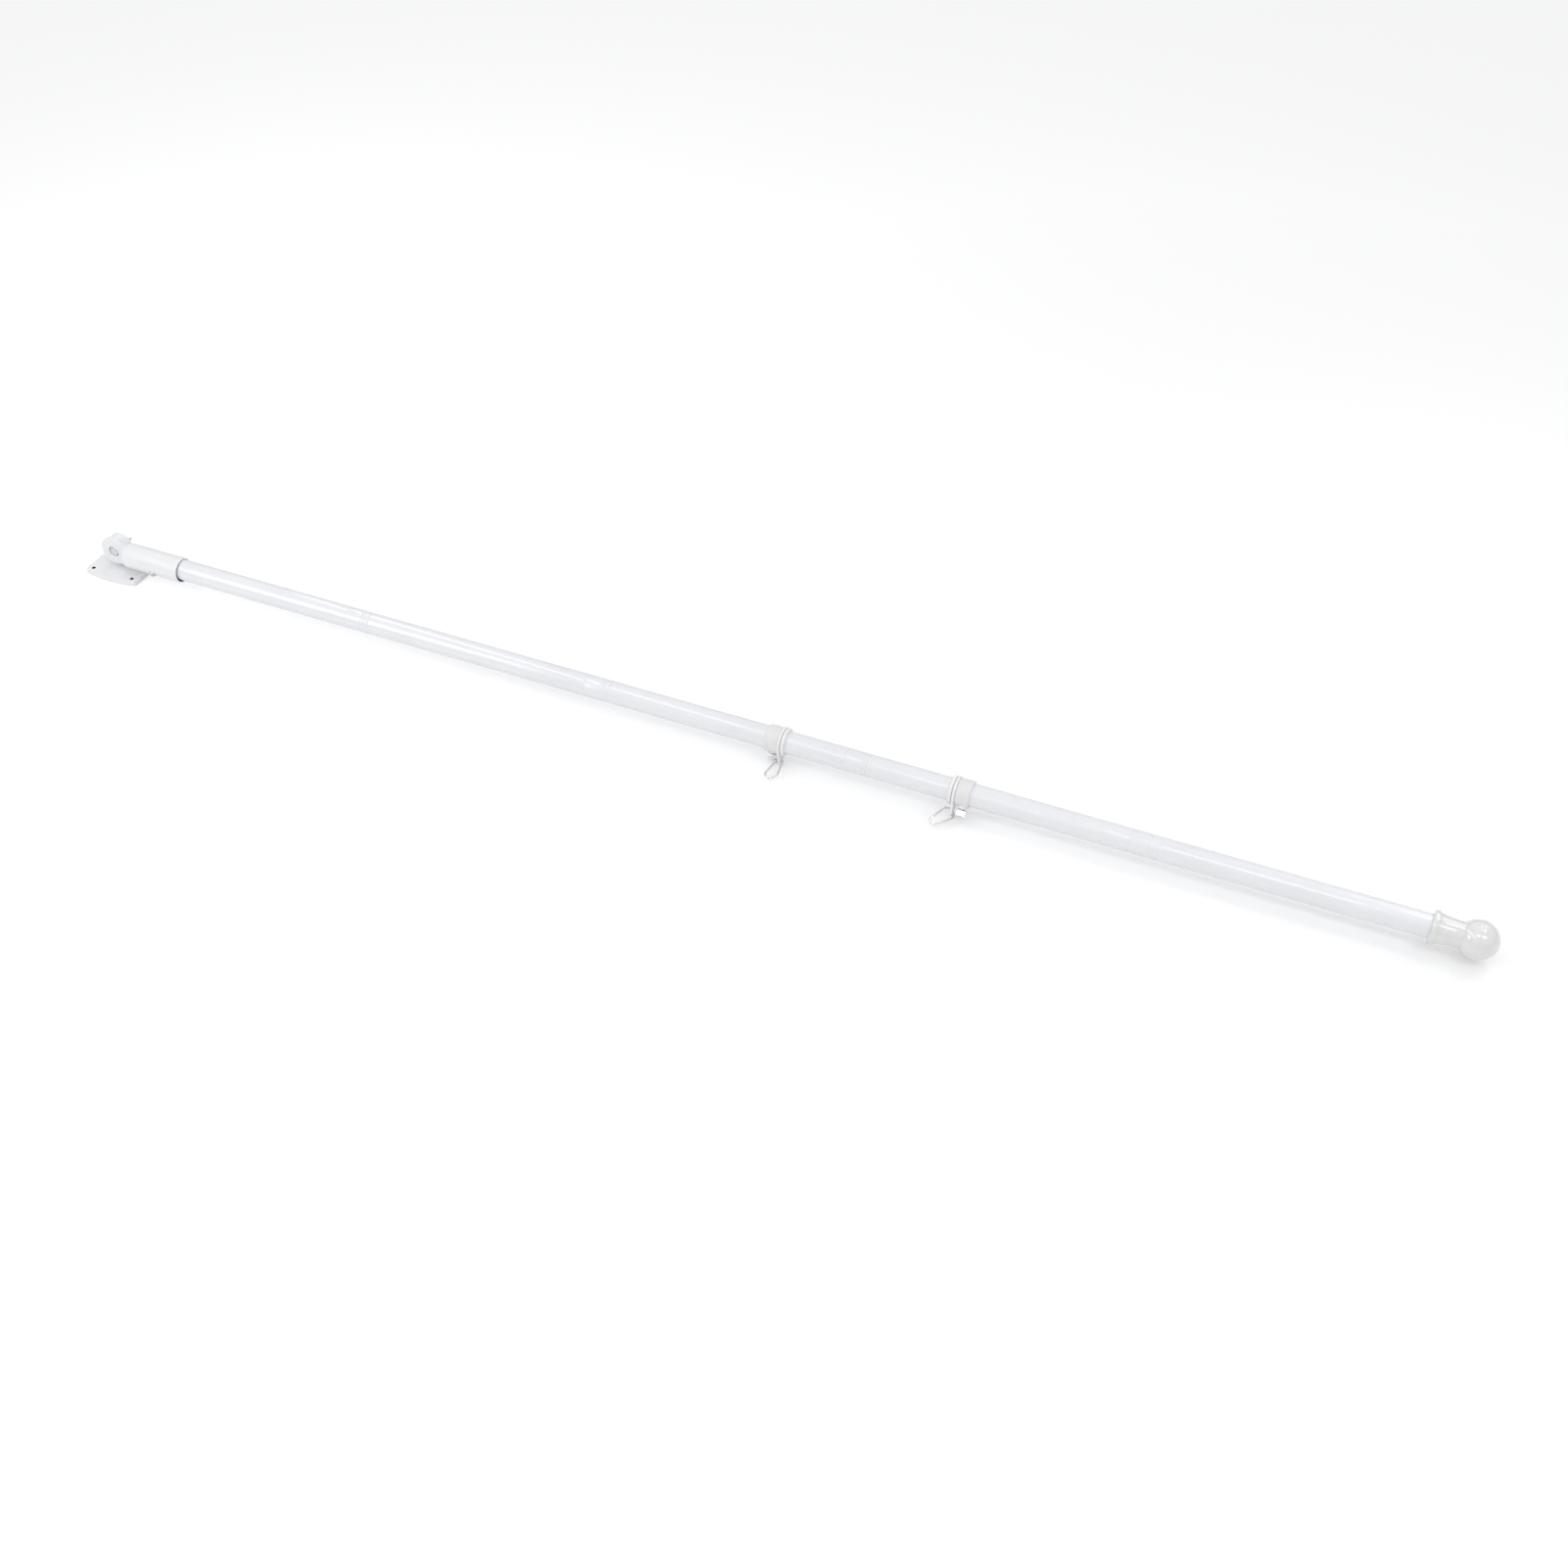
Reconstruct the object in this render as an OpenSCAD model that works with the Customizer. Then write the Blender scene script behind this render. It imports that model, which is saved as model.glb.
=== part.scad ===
// Wall-mounted sectional flagpole: a hinged bracket, five tube sections,
// two anti-wrap rings with snap hooks, and a ball finial.
// Millimetres. The origin is on the back face of the bracket's plate, below the hinge.
// +X runs along the pole, +Z points away from the wall, Y is the hinge axis.

/* [Pole] */
// Outside diameter of the tube sections
tube_d = 25; // [22:0.5:28]
// Wall thickness of the tube sections
tube_wall = 1.2; // [1:0.1:1.6]
// Length of one tube section
section_l = 305; // [250:5:350]
// Number of tube sections
section_count = 5; // [5:1:5]
// Length of the plug inside each joint
plug_l = 76; // [60:2:100]
// Depth of the rolled grooves that hold a plug
groove_depth = 0.5; // [0.3:0.1:0.6]
// Spacing of the rolled grooves
groove_pitch = 4.5; // [4:0.5:6]
// Distance from a seam to its first groove
groove_start = 20; // [16:1:26]

/* [Bracket] */
// Length of the wall plate, along the pole
plate_l = 71; // [64:1:90]
// Width of the wall plate
plate_w = 54; // [48:1:64]
// How far the plate's long edges bow outwards
plate_bow = 4.5; // [2:0.5:6]
// Thickness of the wall plate
plate_t = 5.5; // [4:0.5:7]
// Spacing of the screw holes along the pole
hole_dx = 55.5; // [48:0.5:60]
// Spacing of the screw holes across the pole
hole_dy = 34; // [30:1:38]
// Diameter of the screw holes
hole_d = 4.5; // [4:0.5:6]
// Height of the hinge above the wall
pivot_h = 27; // [26:0.5:30]
// Radius of the socket's hinge disc
disc_r = 17.5; // [16:0.5:18]
// Radius of the plate's hinge ear
ear_r = 16; // [15:0.5:17]
// Thickness of the socket's paddle
paddle_t = 7; // [6:0.5:8]
// Thickness of the plate's ear
ear_t = 11; // [8:0.5:12]
// Diameter of the hinge bolt
bolt_d = 6; // [5:0.5:8]

/* [Socket] */
// Outside diameter of the socket
socket_d = 30; // [29.8:0.2:32]
// Inside diameter of the socket
socket_bore = 27.2; // [27.1:0.1:27.6]
// Depth of the socket's bore
socket_depth = 75.5; // [60:0.5:90]
// Distance from the hinge to the bottom of the bore
socket_back = 23; // [22:1:30]
// How far the socket's screw pushes the pole off the bore's middle
seat_push = 1; // [0.4:0.1:1]
// Direction of the socket's screw, from straight down towards the front
screw_angle = 75; // [0:1:90]

/* [Rings] */
// Distance from the bottom of the pole to the lower ring plate
lower_ring_at = 841.5; // [700:0.5:900]
// Distance from the bottom of the pole to the upper ring plate
upper_ring_at = 1036; // [1000:0.5:1150]
// Length of the clamping collar
collar_l = 15; // [12:1:20]
// Outside diameter of the clamping collar
collar_d = 29.6; // [29:0.2:31]
// Outside diameter of the ring plate
ring_d = 31.2; // [31:0.2:34]
// Thickness of the ring plate
ring_t = 3; // [2.6:0.2:4]
// Distance from the pole's axis to the eye in the ring plate
eye_r = 22; // [21:0.5:23]
// Direction of the lower eye, from straight down towards the front
lower_eye_angle = 18; // [0:1:60]
// Direction of the upper eye, from straight down towards the front
upper_eye_angle = 32; // [0:1:60]
// Direction of the lower thumbscrew, from straight down towards the front
lower_thumb_angle = 8; // [-30:1:60]
// Direction of the upper thumbscrew, from straight down towards the front
upper_thumb_angle = 52; // [-30:1:60]

/* [Snap hooks] */
// Diameter of the hook wire
wire_d = 2.2; // [1.8:0.1:2.6]
// Radius of the wide bend, to the middle of the wire
wide_r = 6.8; // [6:0.2:9]
// Radius of the narrow bend, to the middle of the wire
narrow_r = 3.7; // [3.5:0.1:4.5]
// Distance between the centres of the two bends
bend_gap = 21; // [16:0.5:24]
// Diameter of the gate's rod
gate_d = 2.4; // [2.2:0.1:2.6]

/* [Finial] */
// Diameter of the ball
ball_d = 40; // [36:1:46]
// Diameter of the collar under the ball
finial_collar_d = 34.5; // [30:0.5:36]
// Width of the collar under the ball
finial_collar_l = 5.5; // [4:0.5:8]
// Length of the neck between the collar and the ball
neck_l = 24; // [16:1:28]

/* [Hidden] */
$fn = 64;
tube_r = tube_d / 2;
bore_r = tube_r - tube_wall;
plug_r = bore_r - 0.05;
pole_start = socket_back + 0.2;
pole_end = pole_start + section_count * section_l;
groove_count = 3;
plate_mid = 2.5;
joint_y = 3.5;
joint_gap = 0.3;
bolt_r = bolt_d / 2;
bolt_gap = 0.06;
head_r = 5.6;
head_t = 2.8;
recess_r = 6.7;
recess_t = 3.4;
washer_t = 1.5;
washer_r = 8;
nut_y = joint_y + ear_t + washer_t;
nut_h = 6;
nut_r = 5.5;
wing_r = 4;
wing_at = 6.5;
wing_t = 2.6;
wing_turn = 35;
web_h = 10;
web_end = 22;
fillet_r = 8;
shoulder_x = 18.5;
shoulder_r = 5;
socket_y = -seat_push * sin(screw_angle);
socket_z = pivot_h - seat_push * cos(screw_angle);
screw_x = socket_back + 42;
screw_r = 2;
screw_base = socket_d / 2 + seat_push + 0.6;
screw_top = screw_base + 2.8;
slide_gap = 0.08;
collar_r = collar_d / 2;
sleeve_r = collar_r - 1.1;
sleeve_in = tube_r + slide_gap;
sleeve_end = 1.2;
track_gap = 0.08;
track_z = ring_t / 2 + 0.3;
stop_z = track_z + 0.8;
lip_t = 3;
lip_r = 15.4;
eye_d = 7;
ear_end_r = 5.5;
ear_tuck = 0.06;
thumb_z = 10.9;
thumb_r = 5.1;
thumb_base = 18.6;
thumb_top = 25.2;
boss_r = 4.7;
boss_top = 17.6;
shank_r = 2;
lower_yaw = 0;
lower_pitch = -1;
lower_roll = 188;
upper_yaw = 28;
upper_pitch = -5;
upper_roll = -24;
upper_play = 0.4;
wire_r = wire_d / 2;
gate_r = gate_d / 2;
pin_r = 0.6;
pin_gap = 0.05;
barrel_r = 1.3;
pin_at = 1.9;
rod_at = 1.8;
nose_gap = 0.3;
cheek_t = 0.7;
cheek_r = 1.3;
cheek_mid = wire_r + 0.12 + cheek_t / 2;
cheek_out = cheek_mid + cheek_t / 2;
taper = asin((wide_r - narrow_r) / bend_gap);
gate_n = [narrow_r * cos(taper), -narrow_r * sin(taper)];
spine_n = [-gate_n[0], gate_n[1]];
spine_w = [-wide_r * cos(taper), bend_gap - wide_r * sin(taper)];
gate_l = bend_gap * cos(taper);
cap_x = pole_end - 11;
neck_r = 13.5;
neck_root_r = 16;
neck_steps = 12;
ball_x = cap_x + finial_collar_l + neck_l + sqrt(pow(ball_d / 2, 2) - pow(neck_r, 2));

// ---------- helpers ----------

// A cylinder from x0 to x1 along the pole's axis
module along_x(x0, x1, r) {
    translate([x0, 0, pivot_h]) rotate([0, 90, 0]) cylinder(h = x1 - x0, r = r);
}

// Places its children on the pole's axis at x, with their Z along the pole
module on_pole(x) {
    translate([x, 0, pivot_h]) rotate([0, 90, 0]) children();
}

// Places its children at x on the axis, with their Z pointing outwards,
// at the angle a from straight down towards -Y
module radial(x, a) {
    translate([x, 0, pivot_h]) rotate([180 - a, 0, 0]) children();
}

// A disc across the hinge axis between y0 and y1, centred on the hinge
module across(y0, y1, r) {
    translate([0, y1, pivot_h]) rotate([90, 0, 0]) cylinder(h = y1 - y0, r = r);
}

// ---------- bracket ----------

// The plate's outline: straight ends and two bowed long edges
module plate_outline() {
    bow_r = (pow(plate_l / 2, 2) + pow(plate_bow, 2)) / (2 * plate_bow);
    middle = bow_r - plate_w / 2;
    intersection() {
        square([plate_l, plate_w + 2], center = true);
        translate([0, middle]) circle(r = bow_r, $fn = 256);
        translate([0, -middle]) circle(r = bow_r, $fn = 256);
    }
}

// The ear seen along the hinge: a disc on a foot whose sides are tangent to it
module ear_outline() {
    drop = pivot_h - plate_t + 1;
    side = atan2(-drop, ear_r + 0.5) + acos(ear_r / norm([ear_r + 0.5, drop]));
    circle(r = ear_r);
    polygon([
        [ear_r + 0.5, -drop], [ear_r * cos(side), ear_r * sin(side)],
        [-ear_r * cos(side), ear_r * sin(side)], [-ear_r - 0.5, -drop]
    ]);
}

// Extrudes a shape drawn in the hinge's plane from y0 to y1
module hinge_slab(y0, y1) {
    translate([0, y1, pivot_h]) rotate([90, 0, 0]) linear_extrude(y1 - y0) children();
}

module base_plate() {
    color("white") difference() {
        union() {
            translate([plate_mid, 0, 0]) linear_extrude(plate_t) plate_outline();
            hinge_slab(joint_y, joint_y + ear_t) ear_outline();
        }
        for (sx = [-1, 1], sy = [-1, 1])
            translate([plate_mid + sx * hole_dx / 2, sy * hole_dy / 2, -1])
                cylinder(h = plate_t + 2, d = hole_d);
        across(joint_y - 1, joint_y + ear_t + 1, bolt_r);
    }
}

module pivot_bolt() {
    head_y = joint_y - paddle_t + recess_t;
    color("silver") {
        across(head_y, nut_y + nut_h + 2, bolt_r - bolt_gap);
        hinge_slab(head_y - head_t, head_y) circle(r = head_r, $fn = 6);
    }
}

module pivot_washer() {
    color("silver") difference() {
        across(joint_y + ear_t, nut_y, washer_r);
        across(joint_y + ear_t - 1, nut_y + 1, bolt_r + 0.2);
    }
}

module wing_nut() {
    color("silver") difference() {
        union() {
            across(nut_y, nut_y + nut_h, nut_r);
            hinge_slab(nut_y + 2, nut_y + 2 + wing_t)
                rotate(wing_turn) {
                    for (s = [-1, 1]) translate([s * wing_at, 0]) circle(r = wing_r);
                    square([2 * wing_at, 1.4 * wing_r], center = true);
                }
        }
        across(nut_y - 1, nut_y + nut_h + 1, bolt_r);
    }
}

// The paddle seen along the hinge: a disc that sweeps into the web above,
// and a full web below
module paddle_outline() {
    fillet_x = sqrt(pow(disc_r + fillet_r, 2) - pow(web_h + fillet_r, 2));
    circle(r = disc_r);
    translate([0, -web_h]) square([web_end, 2 * web_h]);
    difference() {
        polygon([[0, 0], [fillet_x, 0], [fillet_x, web_h + fillet_r]]);
        translate([fillet_x, web_h + fillet_r]) circle(r = fillet_r);
    }
    polygon([[0, 0], [web_end, 0], [web_end, -socket_d / 2 + 2], [0, -disc_r]]);
}

// Half of the socket's section: a tube whose bottom end has a round shoulder
module socket_profile() {
    r = socket_d / 2;
    bottom = shoulder_x - socket_back;
    translate([0, bottom + shoulder_r]) square([r, socket_depth - bottom - shoulder_r]);
    translate([0, bottom]) square([r - shoulder_r, shoulder_r + 1]);
    translate([r - shoulder_r, bottom + shoulder_r]) intersection() {
        circle(r = shoulder_r);
        translate([0, -shoulder_r]) square([shoulder_r, shoulder_r]);
    }
}

module pole_socket() {
    color("white") difference() {
        union() {
            hinge_slab(joint_y - paddle_t, joint_y - joint_gap) paddle_outline();
            translate([socket_back, socket_y, socket_z]) rotate([0, 90, 0])
                rotate_extrude() socket_profile();
            radial(screw_x, screw_angle) translate([0, 0, socket_bore / 2 + seat_push + 0.1])
                cylinder(h = (socket_d - socket_bore) / 2 + 0.5, r = screw_r + 2.8);
        }
        translate([socket_back, socket_y, socket_z]) rotate([0, 90, 0])
            cylinder(h = socket_depth + 1, d = socket_bore);
        across(joint_y - paddle_t - 1, joint_y + 1, bolt_r);
        across(joint_y - paddle_t - 1, joint_y - paddle_t + recess_t, recess_r);
        radial(screw_x, screw_angle) translate([0, 0, tube_r]) cylinder(h = 6, r = screw_r + 0.05);
    }
}

module socket_screw() {
    color("silver") radial(screw_x, screw_angle) {
        translate([0, 0, tube_r]) cylinder(h = screw_base - tube_r, r = screw_r);
        translate([0, 0, screw_base]) cylinder(h = screw_top - screw_base, r = 3.8);
    }
}

// ---------- pole ----------

module tube_section(i) {
    x0 = pole_start + (i - 1) * section_l;
    color("white") difference() {
        along_x(x0, x0 + section_l, tube_r);
        along_x(x0 - 1, x0 + section_l + 1, bore_r);
        if (i > 1)
            for (k = [0 : groove_count - 1])
                on_pole(x0 + groove_start + k * groove_pitch)
                    rotate_extrude() translate([tube_r + 0.9, 0]) circle(r = 0.9 + groove_depth);
    }
}

module joint_plug(i) {
    x0 = pole_start + i * section_l;
    color("silver") difference() {
        along_x(x0 - plug_l / 2, x0 + plug_l / 2, plug_r);
        along_x(x0 - plug_l / 2 - 1, x0 + plug_l / 2 + 1, plug_r - 1.5);
    }
}

// ---------- rings ----------
// side is -1 where the collar is below its ring plate, and 1 where it is above

// Places its children on the axis at a ring plate, with their Z towards the collar
module at_ring(at, side) {
    translate([pole_start + at, 0, pivot_h]) rotate([0, side * 90, 0]) children();
}

module collar(at, side, angle) {
    color("white") difference() {
        union() {
            at_ring(at, side) {
                translate([0, 0, -stop_z - lip_t - sleeve_end])
                    cylinder(h = track_z + stop_z + lip_t + sleeve_end, r = sleeve_r);
                translate([0, 0, track_z]) cylinder(h = collar_l, r = collar_r);
            }
            radial(pole_start + at + side * thumb_z, angle)
                translate([0, 0, sleeve_r]) cylinder(h = boss_top - sleeve_r, r = boss_r);
        }
        at_ring(at, side) translate([0, 0, -20]) cylinder(h = 50, r = sleeve_in);
        radial(pole_start + at + side * thumb_z, angle)
            translate([0, 0, tube_r - 2]) cylinder(h = 10, r = shank_r + 0.05);
    }
}

module retainer(at, side) {
    color("white") at_ring(at, side) translate([0, 0, -stop_z - lip_t]) difference() {
        cylinder(h = lip_t, r = lip_r);
        translate([0, 0, -1]) cylinder(h = lip_t + 2, r = sleeve_r + 0.02);
    }
}

module thumbscrew(at, side, angle) {
    color("silver") radial(pole_start + at + side * thumb_z, angle) {
        translate([0, 0, tube_r]) cylinder(h = thumb_base - tube_r, r = shank_r);
        translate([0, 0, thumb_base]) cylinder(h = thumb_top - thumb_base, r = thumb_r);
    }
}

// A flat ring with a rounded ear; the ear's sides run just inside both rounds
module ring_plate(at, angle) {
    ring_r = ring_d / 2 - ear_tuck;
    end_r = ear_end_r - ear_tuck;
    lean = asin((ring_r - end_r) / eye_r);
    side_pts = [
        [ring_r * sin(lean), ring_r * cos(lean)],
        [eye_r + end_r * sin(lean), end_r * cos(lean)],
        [eye_r + end_r * sin(lean), -end_r * cos(lean)],
        [ring_r * sin(lean), -ring_r * cos(lean)]
    ];
    color("white") radial(pole_start + at, angle) rotate([0, -90, 0])
        translate([0, 0, -ring_t / 2]) difference() {
            union() {
                cylinder(h = ring_t, r = ring_d / 2);
                linear_extrude(ring_t) polygon(side_pts);
                translate([eye_r, 0, 0]) cylinder(h = ring_t, r = ear_end_r);
            }
            translate([0, 0, -1]) cylinder(h = ring_t + 2, r = sleeve_r + track_gap);
            translate([eye_r, 0, -1]) cylinder(h = ring_t + 2, d = eye_d);
        }
}

// ---------- snap hooks ----------
// A hook lies in its own XZ plane, its narrow bend centred at the origin
// and its wide bend at z = bend_gap. The gate is on the +X side.

// A wire from p0 to p1, each [x, z]
module wire(p0, p1, r) {
    step = p1 - p0;
    translate([p0[0], 0, p0[1]]) rotate([0, atan2(step[0], step[1]), 0])
        cylinder(h = norm(step), r = r);
}

// A bend about [0, z], from the angle a0 through sweep, both measured from +X towards +Z
module bend(z, r, a0, sweep) {
    translate([0, 0, z]) rotate([90, 0, 0]) rotate([0, 0, a0])
        rotate_extrude(angle = sweep) translate([r, 0]) circle(r = wire_r);
}

// The two cheeks at the narrow bend's end that hold the gate's pin
module gate_fork() {
    translate([gate_n[0], 0, gate_n[1]]) rotate([0, taper, 0]) {
        translate([-cheek_r, -cheek_out, -1]) cube([2 * cheek_r, 2 * cheek_out, 1.2]);
        for (s = [-1, 1]) {
            translate([-cheek_r, s * cheek_mid - cheek_t / 2, -1]) cube([2 * cheek_r, cheek_t, pin_at + 1]);
            translate([0, s * cheek_mid + cheek_t / 2, pin_at])
                rotate([90, 0, 0]) cylinder(h = cheek_t, r = cheek_r);
        }
        translate([0, cheek_out, pin_at]) rotate([90, 0, 0]) cylinder(h = 2 * cheek_out, r = pin_r);
    }
}

module hook_body() {
    bend(0, narrow_r, 180 + taper, 180 - 2 * taper);
    bend(bend_gap, wide_r, -taper, 180 + 2 * taper);
    wire(spine_n, spine_w, wire_r);
    for (p = [spine_n, spine_w])
        translate([p[0], 0, p[1]]) sphere(r = wire_r + 0.12);
    gate_fork();
}

module hook_gate() {
    translate([gate_n[0], 0, gate_n[1]]) rotate([0, taper, 0]) translate([0, 0, pin_at])
        difference() {
            union() {
                translate([0, wire_r, 0]) rotate([90, 0, 0]) cylinder(h = wire_d, r = barrel_r);
                cylinder(h = rod_at + 0.4, r = wire_r);
                translate([0, 0, rod_at]) cylinder(h = gate_l - pin_at - nose_gap - rod_at, r = gate_r);
            }
            translate([0, wire_r + 1, 0]) rotate([90, 0, 0]) cylinder(h = wire_d + 2, r = pin_r + pin_gap);
        }
}

// The middle of an eye, with the axes left as the frame's
module at_eye(at, angle) {
    translate([pole_start + at, -eye_r * sin(angle), pivot_h - eye_r * cos(angle)]) children();
}

// Turns a hook about its own length, then lowers it by pitch and swings it by yaw
module turned(yaw, pitch, roll) {
    rotate([0, 0, -yaw]) rotate([90 + pitch, 0, 0]) rotate([0, 0, roll]) children();
}

// Hangs its children, a hook, by the narrow bend in the lower eye
module on_lower_eye() {
    color("silver") at_eye(lower_ring_at, lower_eye_angle) turned(lower_yaw, lower_pitch, lower_roll)
        translate([0, 0, narrow_r]) children();
}

// Hangs its children, a hook, by the wide bend in the upper eye, a little off its middle
module on_upper_eye() {
    color("silver") at_eye(upper_ring_at + upper_play, upper_eye_angle)
        turned(upper_yaw, upper_pitch, upper_roll)
        translate([0, 0, bend_gap + wide_r]) rotate([0, 180, 0]) children();
}

// ---------- finial ----------

module finial_cap() {
    neck = [for (k = [0 : neck_steps])
        [neck_r + (neck_root_r - neck_r) * pow(1 - k / neck_steps, 2),
         finial_collar_l + neck_l * k / neck_steps]];
    color("white") difference() {
        on_pole(cap_x) rotate_extrude()
            polygon(concat([[0, 0], [finial_collar_d / 2, 0], [finial_collar_d / 2, finial_collar_l]],
                neck, [[0, finial_collar_l + neck_l]]));
        along_x(cap_x - 1, pole_end + 0.3, tube_r + 0.05);
    }
}

module finial_ball() {
    seat = sqrt(pow(ball_d / 2, 2) - pow(neck_r, 2));
    color("white") on_pole(ball_x) rotate_extrude() difference() {
        circle(d = ball_d);
        translate([-ball_d, -ball_d]) square([ball_d, 2 * ball_d]);
        translate([-1, -ball_d]) square([ball_d, ball_d - seat]);
    }
}

base_plate();
pivot_bolt();
pivot_washer();
wing_nut();
pole_socket();
socket_screw();
tube_section(1);  // tube_section_1
tube_section(2);  // tube_section_2
tube_section(3);  // tube_section_3
tube_section(4);  // tube_section_4
tube_section(5);  // tube_section_5
joint_plug(1);  // joint_plug_1
joint_plug(2);  // joint_plug_2
joint_plug(3);  // joint_plug_3
joint_plug(4);  // joint_plug_4
collar(lower_ring_at, -1, lower_thumb_angle);  // lower_collar
retainer(lower_ring_at, -1);  // lower_retainer
thumbscrew(lower_ring_at, -1, lower_thumb_angle);  // lower_thumbscrew
ring_plate(lower_ring_at, lower_eye_angle);  // lower_ring_plate
on_lower_eye() hook_body();  // lower_hook
on_lower_eye() hook_gate();  // lower_gate
collar(upper_ring_at, 1, upper_thumb_angle);  // upper_collar
retainer(upper_ring_at, 1);  // upper_retainer
thumbscrew(upper_ring_at, 1, upper_thumb_angle);  // upper_thumbscrew
ring_plate(upper_ring_at, upper_eye_angle);  // upper_ring_plate
on_upper_eye() hook_body();  // upper_hook
on_upper_eye() hook_gate();  // upper_gate
finial_cap();
finial_ball();
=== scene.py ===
"""Looks of a wall-mount sectional flagpole, laid out as a Blender add-on.

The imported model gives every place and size. Each operator below makes one piece or one
group of like pieces, in metres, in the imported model's frame: +X runs along the pole,
+Z points away from the wall and Y is the hinge's axis.
"""

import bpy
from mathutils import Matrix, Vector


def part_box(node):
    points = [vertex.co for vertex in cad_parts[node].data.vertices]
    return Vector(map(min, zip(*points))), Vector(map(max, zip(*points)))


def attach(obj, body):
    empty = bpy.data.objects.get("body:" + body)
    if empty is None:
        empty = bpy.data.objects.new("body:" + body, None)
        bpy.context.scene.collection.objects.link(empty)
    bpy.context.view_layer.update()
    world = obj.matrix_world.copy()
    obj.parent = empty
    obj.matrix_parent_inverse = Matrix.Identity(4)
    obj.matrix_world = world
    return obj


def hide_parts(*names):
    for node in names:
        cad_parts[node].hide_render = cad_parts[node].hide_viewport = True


bl_info = {
    "name": "Sectional Flagpole",
    "version": (1, 0, 0),
    "blender": (4, 5, 0),
    "location": "View3D > Sidebar > Flagpole",
    "description": "Makes the looks of a wall-mount sectional flagpole around its packed frame",
    "category": "Object",
}

from math import acos, asin, atan2, cos, pi, radians, sin, sqrt, tan

import bmesh
import bpy
from bpy.props import FloatProperty, FloatVectorProperty, IntProperty, PointerProperty
from mathutils import Matrix, Vector

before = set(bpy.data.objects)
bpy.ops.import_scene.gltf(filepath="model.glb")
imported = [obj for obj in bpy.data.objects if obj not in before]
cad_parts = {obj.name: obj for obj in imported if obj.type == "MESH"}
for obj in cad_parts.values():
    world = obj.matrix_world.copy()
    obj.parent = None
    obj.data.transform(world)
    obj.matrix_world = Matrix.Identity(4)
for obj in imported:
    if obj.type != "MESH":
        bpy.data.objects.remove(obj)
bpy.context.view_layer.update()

MM = 0.001
TUBE_LOW, TUBE_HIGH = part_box("tube_section_1")
AXIS_Z = (TUBE_LOW.z + TUBE_HIGH.z) / 2
TUBE_R = (TUBE_HIGH.z - TUBE_LOW.z) / 2
POLE_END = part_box("tube_section_5")[1].x
PLATE_LOW, PLATE_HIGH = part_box("base_plate")
RING_X = {side: (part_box(side + "_ring_plate")[0].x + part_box(side + "_ring_plate")[1].x) / 2
          for side in ("lower", "upper")}
# The collar lies towards the bracket on the lower ring and towards the ball on the upper
FACING = {"lower": -1, "upper": 1}

# Wall plate: the bow of its long sides, half the spacing of its screws, the ear's two faces
PLATE_BOW = 4.5 * MM
PLATE_CORNER = 1.6 * MM
SCREW_SPREAD = (27.75 * MM, 17 * MM)
HOLE_R = 2.25 * MM
PLATE_EAR = (3.5 * MM, 14.5 * MM)
# Hinge: the height of the bolt's head and the washer's radius
HEAD_HEIGHT = 2.8 * MM
WASHER_R = 8 * MM
# Pole socket: the two faces of its hinge disc, its back, and the blind end of its bore
PADDLE = (-3.5 * MM, 3.2 * MM)
SOCKET_BACK = 18.5 * MM
SOCKET_BOTTOM = 23 * MM
# Radius of the holes for the socket's screw and the thumbscrews
DRILL_R = 2.05 * MM
# Rings, along the pole from the middle of the turning ring towards the collar
RETAINER = (-5.6 * MM, -2.6 * MM)
RETAINER_R = 15.4 * MM
RING_HALF = 1.5 * MM
TRACK_END = 1.8 * MM
THUMB_OFFSET = 10.9 * MM
EAR_R = 5.5 * MM
EYE_R = 3.5 * MM
# Thumbscrews: the ends of the head from the pole's axis, and the head's and shank's radii
THUMB_BASE, THUMB_TOP = 18.6 * MM, 25.2 * MM
THUMB_CORE = 4.4 * MM
THUMB_SHANK = 1.7 * MM
# Snap hooks: yaw, pitch and roll in degrees, and how far each sits along its eye
HOOK_TURNS = {"lower": (0, -1, 188), "upper": (28, -5, -24)}
HOOK_PLAY = {"lower": 0.0, "upper": 0.4 * MM}
# Their gates: where the pin is from the wire's end, its hole, and the radius of the barrel
# and cheeks round it, with half a cheek's thickness
PIN_AT = 1.9 * MM
PIN_BORE = 0.65 * MM
CHEEK_R = 1.3 * MM
CHEEK_HALF = 0.35 * MM
# The ball's mould seam: turn from the ball's middle, and depth below its surface
MOULD_SEAM = ((0.012, 0), (0.006, 0.09 * MM), (0, 0.12 * MM), (-0.006, 0.09 * MM), (-0.012, 0))

# Studio: the floor's glow grows with distance from this centre, over this range; then the
# lamps and the camera
GLOW_CENTRE = (1.5, 0.0, 0.0)
GLOW_RAMP = (-0.8, 1.6)
STRIP_AXIS = (1.551, -1.547, -0.233)
WINDOW_SPOTS = ((1.35, -0.5, 1.1), (1.95, -0.35, 0.85), (1.75, 0.25, 1.0))
CAMERA_PLACE = (1.3863, -1.2835, 1.2828)
CAMERA_HEADING, CAMERA_TILT, CAMERA_LEAN = radians(-22.048), radians(43.59), radians(-0.73)
CAMERA_LENS = 40.39


# ---------- settings ----------


def length_setting(name, description, default, low, high):
    """A length, its values given in millimetres"""
    return FloatProperty(name=name, description=description, unit="LENGTH", precision=5,
                         default=default * MM, min=low * MM, max=high * MM)


def angle_setting(name, description, default, low, high):
    """An angle, its values given in degrees"""
    return FloatProperty(name=name, description=description, unit="ROTATION",
                         default=radians(default), min=radians(low), max=radians(high))


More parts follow.
